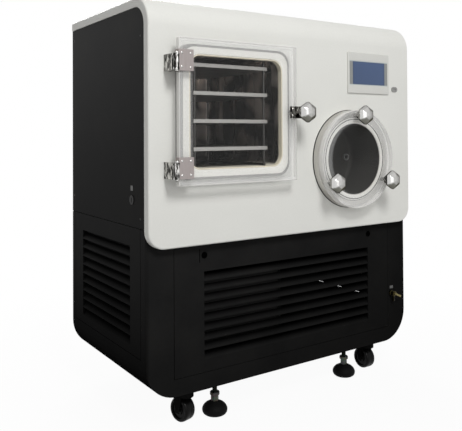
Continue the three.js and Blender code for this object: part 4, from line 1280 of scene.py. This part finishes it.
class DRYER_OT_feet(bpy.types.Operator):
    """Four levelling feet: rubber pads on threaded studs with lock nuts"""

    bl_idname = "dryer.feet"
    bl_label = "Levelling feet"

    def execute(self, context):
        for corner in CORNERS:
            self.make_pad(f"foot_pad_{corner}")
            self.make_stud(f"foot_stud_{corner}")
        return {"FINISHED"}

    @staticmethod
    def make_pad(node):
        """A rubber pad that widens a little over the floor and then narrows to a low cone."""
        width, _, height = span(node)
        bm = bmesh.new()
        turned(bm, scaled([
            (0, 0), (0.72, 0), (0.80, 0.02), (0.91, 0.10), (0.975, 0.21), (1, 0.34), (0.99, 0.45),
            (0.945, 0.56), (0.86, 0.68), (0.75, 0.785), (0.60, 0.875), (0.47, 0.94), (0.385, 0.985),
            (0.37, 1), (0, 1),
        ], width / 2 - 0.2, height), foot_of(node), Z, 72)
        stand_in(bm, node, "black_rubber", 50)

    @staticmethod
    def make_stud(node):
        """A lock nut, a round flange over it and a threaded stud that runs on to the top."""
        centre = foot_of(node)
        top = span(node).z
        nut = 13.4
        tall = 20
        flange = tall + 10
        shaft = 8
        pitch = sizes().thread_pitch / MM
        start = flange - 0.5
        turns = int((top - start) / pitch)
        thread = [(0, start)]
        for i in range(turns):
            thread += [(shaft - 1.1, start + i * pitch), (shaft, start + (i + 0.5) * pitch)]
        thread += [(shaft - 1.1, start + turns * pitch), (shaft - 1.6, top), (0, top)]
        bm = bmesh.new()
        turned(bm, [
            (0, 0), (nut - 1.4, 0), (nut, 1.2), (nut, tall - 1.2), (nut - 1.4, tall), (0, tall),
        ], centre, Z, 6)
        turned(bm, [
            (0, tall - 1), (15.6, tall + 0.2), (16, tall + 1), (16, flange - 2), (14.5, flange), (0, flange),
        ], centre, Z, 40)
        turned(bm, thread, centre, Z, 24)
        stand_in(bm, node, "stud_zinc", 30)


class DRYER_OT_machinery(bpy.types.Operator):
    """Compressor and finned condenser behind the louvres"""

    bl_idname = "dryer.machinery"
    bl_label = "Machinery"

    def execute(self, context):
        self.make_compressor()
        finished("condenser", "finned_metal", 0.5 * MM)
        self.louvre_shade_sheets()
        return {"FINISHED"}

    @staticmethod
    def make_compressor():
        """A round welded shell on a foot plate."""
        width, _, height = span("compressor")
        foot = width / 2 - 0.3
        shell = foot / 1.15
        shoulder = height - shell / 2
        dome = [(0.965, 0.15), (0.87, 0.29), (0.70, 0.40), (0.45, 0.475)]
        bm = bmesh.new()
        turned(bm, [
            (0, 0), (foot, 0), (foot, 5.5), (foot - 1, 6), (shell - 1, 6), (shell, 8),
            (shell, 0.56 * height), (shell - 1.5, 0.565 * height), (shell - 1.5, 0.575 * height),
            (shell, 0.58 * height), (shell, shoulder),
            *[(across * shell, shoulder + up * shell) for across, up in dome],
            (0.3 * shell, height), (0, height),
        ], foot_of("compressor"), Z, 64)
        stand_in(bm, "compressor", "black_paint")

    @staticmethod
    def louvre_shade_sheets():
        """Thin black sheets behind the side and rear louvres: painted shade that keeps the louvre gaps dark.
        """
        gap = 0.5 * MM
        thick = 4 * MM
        edge = 0.5 * MM
        along, under, over = 66.5 * MM, 17.5 * MM, 53 * MM
        bm = bmesh.new()
        for name, inward in (("left", 1), ("right", -1)):
            low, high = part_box(f"side_panel_lower_{name}")
            skin = high.x if inward > 0 else low.x
            near, far = sorted((skin + inward * gap, skin + inward * (gap + thick)))
            block(bm, (near, low.y + along, low.z + under), (far, high.y - along, high.z - over), edge, 1)
        low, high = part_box("rear_panel")
        along, under, over = 280.7 * MM, 162.7 * MM, 797.7 * MM
        near, far = low.y - gap - thick, low.y - gap
        block(bm, (low.x + along, near, low.z + under), (high.x - along, far, high.z - over), edge, 1)
        settle(bm, "louvre_shade_sheets", "vent_foam", "cabinet")


class DRYER_OT_fasteners(bpy.types.Operator):
    """Screws, plain plates and small fittings"""

    bl_idname = "dryer.fasteners"
    bl_label = "Fasteners"

    def execute(self, context):
        self.door_screws()
        self.panel_screws()
        self.castor_bolts()
        self.plates()
        self.gland_nut()
        return {"FINISHED"}

    @staticmethod
    def door_screws():
        """Screws of the hinge brackets, which stay, and of the leaves and lug, which swing with the door."""
        brackets = bmesh.new()
        leaves = bmesh.new()
        leaf_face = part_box("door_panel")[0].y - 5.3 * MM
        for side in ("lower", "upper"):
            low, high, centre = extent(f"hinge_bracket_{side}")
            for rise in (-8 * MM, 8 * MM):
                screw(brackets, (low.x + 6 * MM, high.y - 5 * MM, centre.z + rise), -Y, 3.0, 1.8)
            low, high, centre = extent(f"hinge_leaf_{side}")
            for x in (high.x - 10 * MM, high.x - 40 * MM):
                for rise in (-21 * MM, 21 * MM):
                    screw(leaves, (x, leaf_face, centre.z + rise), -Y, 3.6, 0.9)
        low, _, centre = extent("clamp_lug")
        for rise in (-11 * MM, 11 * MM):
            screw(leaves, (low.x + 9 * MM, low.y, centre.z + rise), -Y, 3.6, 0.9)
        settle(brackets, "hinge_bracket_screws", "polished_steel", "cabinet")
        settle(leaves, "door_screws", "polished_steel", "chamber_door")

    @staticmethod
    def panel_screws():
        """Screws of the upper side panels and round the rear panel."""
        bm = bmesh.new()
        for side, name in ((-1, "left"), (1, "right")):
            low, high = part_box(f"side_panel_upper_{name}")
            sunk = (low.x if side < 0 else high.x) - side * 1.8 * MM
            for y, z in (
                (low.y + 26 * MM, high.z - 92 * MM), (high.y - 20 * MM, high.z - 40 * MM),
                (high.y - 20 * MM, low.z + 60 * MM), (low.y + 30 * MM, low.z + 30 * MM),
            ):
                screw(bm, (sunk, y, z), X * side, 4, 2.2)
        low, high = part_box("rear_panel")
        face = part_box("base_frame")[1].y
        edge = 14 * MM
        rear = [(x, low.z + share * (high.z - low.z)) for x in (low.x + edge, high.x - edge)
                for share in (0.12, 0.32, 0.52, 0.71, 0.91)]
        rear += [(low.x + share * (high.x - low.x), z) for share in (0.18, 0.5, 0.82)
                 for z in (low.z + edge, high.z - edge)]
        for x, z in rear:
            screw(bm, (x, face, z), Y, 3.6, 2)
        settle(bm, "panel_screws", "dark_zinc", "cabinet")

    @staticmethod
    def castor_bolts():
        """Four six-sided bolt heads under the base at each castor."""
        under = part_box("base_frame")[0].z + 0.1 * MM
        bolt = [(0, 0), (4.2, 0), (4.2, 2.2), (3.6, 2.8), (0, 2.8)]
        bm = bmesh.new()
        for corner in CORNERS:
            axis = pivot_of(f"castor_{corner}")
            for x in (axis.x - 31 * MM, axis.x + 31 * MM):
                for y in (axis.y - 27 * MM, axis.y + 27 * MM):
                    turned(bm, bolt, Vector((x, y, under)), -Z, 6)
        settle(bm, "castor_bolts", "dark_zinc", "cabinet")

    @staticmethod
    def plates():
        """Small bare plates over the drain valve and over the latch of the left side."""
        bm = bmesh.new()
        _, high, centre = extent("drain_valve")
        place = Vector((centre.x + 4 * MM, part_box("base_frame")[0].y, high.z))
        block(bm, place + MM * Vector((-9, -0.9, 5)), place + MM * Vector((9, 0.1, 16)), 0.3 * MM)
        place = middle("side_latch")
        place.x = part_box("side_panel_upper_left")[0].x
        block(bm, place + MM * Vector((-0.9, -8, 24)), place + MM * Vector((0.1, 8, 40)), 0.3 * MM)
        settle(bm, "bare_plates", "bare_plate", "cabinet")

    @staticmethod
    def gland_nut():
        """The nut and the clamping sleeve of the cable gland on the rear panel."""
        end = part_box("rear_panel")[1].y
        tip = [v.co for v in NODES["rear_panel"].data.vertices if v.co.y > end - 1 * MM]
        if not tip:
            raise RuntimeError("the rear panel has no gland")
        centre = sum(tip, Vector()) / len(tip)
        centre.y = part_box("base_frame")[1].y
        reach = (end - centre.y) / MM
        bm = bmesh.new()
        turned(bm, [
            (7.4, 0.2), (15.6, 0.2), (17, 1), (17, 6), (15.6, 7), (7.4, 7), (7.4, 0.2),
        ], centre, Y, 6)
        turned(bm, [
            (7.2, 6), (15.2, 6), (15.4, reach - 5), (13.5, reach - 1.2), (10, reach - 0.1),
            (7.2, reach - 0.1), (7.2, 6),
        ], centre, Y, 48)
        settle(bm, "cable_gland_nut", "black_plastic", "cabinet")


# ---- Stage -------------------------------------------------------------------------------------------


class DRYER_OT_stage(bpy.types.Operator):
    """Pale floor, soft lights, white surroundings and the camera"""

    bl_idname = "dryer.stage"
    bl_label = "Stage"

    def execute(self, context):
        scene = context.scene
        scene.view_settings.view_transform = "Standard"
        self.make_floor()
        self.make_world(scene)
        self.lamp("key_light", (-0.8, -3.2, 3.6), (0, -0.2, 0.8), 1.3, 96.0)
        self.lamp("fill_light", (-0.6, -4.6, 1.5), (0, 0, 0.8), 3.0, 22.0)
        self.lamp("back_light", (0.9, 3.4, 2.3), (0, 0.3, 0.7), 2.6, 170.0)
        self.make_camera(scene)
        return {"FINISHED"}

    @staticmethod
    def make_floor():
        """A pale disc that looks white, a little less so near the object, and still takes its shadow."""
        bm = bmesh.new()
        bmesh.ops.create_circle(bm, cap_ends=True, segments=64, radius=14.0)
        mesh = bpy.data.meshes.new("floor")
        bm.to_mesh(mesh)
        bm.free()
        finish = Finish("floor_white", Base_Color=(0.62, 0.62, 0.62), Roughness=0.9, Specular_IOR_Level=0.0)
        x, y, _ = finish.axes()
        far = ((x ** 2 + y ** 2) ** 0.5).over(0.7, 1.8)
        glow = finish.node("ShaderNodeEmission", sockets={"Color": (1, 1, 1), "Strength": 1.0})
        mixed = finish.node("ShaderNodeMixShader", sockets={
            0: finish.seen() * (0.955 + 0.045 * far), 1: finish.shader.outputs[0], 2: glow.outputs[0],
        })
        finish.plug(finish.result.inputs["Surface"], mixed.outputs[0])
        mesh.materials.append(finish.material)
        floor = bpy.data.objects.new("floor", mesh)
        bpy.context.scene.collection.objects.link(floor)

    @staticmethod
    def make_world(scene):
        """A dim room that looks white to the eye, in mirrors and through glass."""
        scene.world = bpy.data.worlds.new("white_room")
        room = Nodes(scene.world)
        pale = room.node("ShaderNodeBackground", sockets={"Color": (1.0, 0.99, 0.98), "Strength": 0.28})
        white = room.node("ShaderNodeBackground", sockets={"Color": (1, 1, 1), "Strength": 1.0})
        mixed = room.node("ShaderNodeMixShader", sockets={
            0: room.seen(), 1: pale.outputs[0], 2: white.outputs[0],
        })
        room.node("ShaderNodeOutputWorld", sockets={"Surface": mixed.outputs[0]})

    @staticmethod
    def lamp(name, place, target, size, watts):
        """A round soft lamp that points at its target."""
        light = bpy.data.lights.new(name, "AREA")
        light.shape = "DISK"
        light.size = size
        light.energy = watts
        lamp = bpy.data.objects.new(name, light)
        lamp.location = place
        lamp.rotation_euler = (Vector(target) - Vector(place)).to_track_quat("-Z", "Y").to_euler()
        bpy.context.scene.collection.objects.link(lamp)

    @staticmethod
    def make_camera(scene):
        """A nearly level camera to the left of the object, so that its uprights stay parallel."""
        lens = bpy.data.cameras.new("camera")
        lens.sensor_width = 36
        lens.lens = 49.28
        lens.shift_x = 0.00584
        lens.shift_y = -0.1978
        lens.clip_start = 0.05
        camera = bpy.data.objects.new("camera", lens)
        heading, tilt, roll = radians(-33.90), radians(90.85), radians(-0.29)
        camera.matrix_world = (
            Matrix.Translation((-1.4171, -1.9569, 0.9185)) @ Matrix.Rotation(heading, 4, "Z")
            @ Matrix.Rotation(tilt, 4, "X") @ Matrix.Rotation(roll, 4, "Z")
        )
        scene.collection.objects.link(camera)
        scene.camera = camera


OPERATORS = (
    DRYER_OT_stage,
    DRYER_OT_hood,
    DRYER_OT_cabinet,
    DRYER_OT_front_panel,
    DRYER_OT_drying_chamber,
    DRYER_OT_chamber_door,
    DRYER_OT_knobs,
    DRYER_OT_cold_trap,
    DRYER_OT_touch_panel,
    DRYER_OT_drain_valve,
    DRYER_OT_castors,
    DRYER_OT_feet,
    DRYER_OT_machinery,
    DRYER_OT_fasteners,
)


class DRYER_PT_panel(bpy.types.Panel):
    """Lists the pieces of the freeze dryer, its sizes and its colours"""

    bl_idname = "DRYER_PT_panel"
    bl_label = "Freeze Dryer"
    bl_space_type = "VIEW_3D"
    bl_region_type = "UI"
    bl_category = "Freeze Dryer"

    def draw(self, context):
        pieces = self.layout.box()
        for operator in OPERATORS:
            pieces.operator(operator.bl_idname)
        for group in (context.scene.dryer_sizes, context.scene.dryer_colours):
            column = self.layout.box().column()
            for name in group.__annotations__:
                column.prop(group, name)


CLASSES = (DryerSizes, DryerColours, *OPERATORS, DRYER_PT_panel)


def register():
    for item in CLASSES:
        bpy.utils.register_class(item)
    bpy.types.Scene.dryer_sizes = PointerProperty(type=DryerSizes)
    bpy.types.Scene.dryer_colours = PointerProperty(type=DryerColours)


def unregister():
    del bpy.types.Scene.dryer_colours
    del bpy.types.Scene.dryer_sizes
    for item in reversed(CLASSES):
        bpy.utils.unregister_class(item)


def main():
    register()
    for operator in OPERATORS:
        group, name = operator.bl_idname.split(".")
        getattr(getattr(bpy.ops, group), name)()


if __name__ == "__main__":
    main()
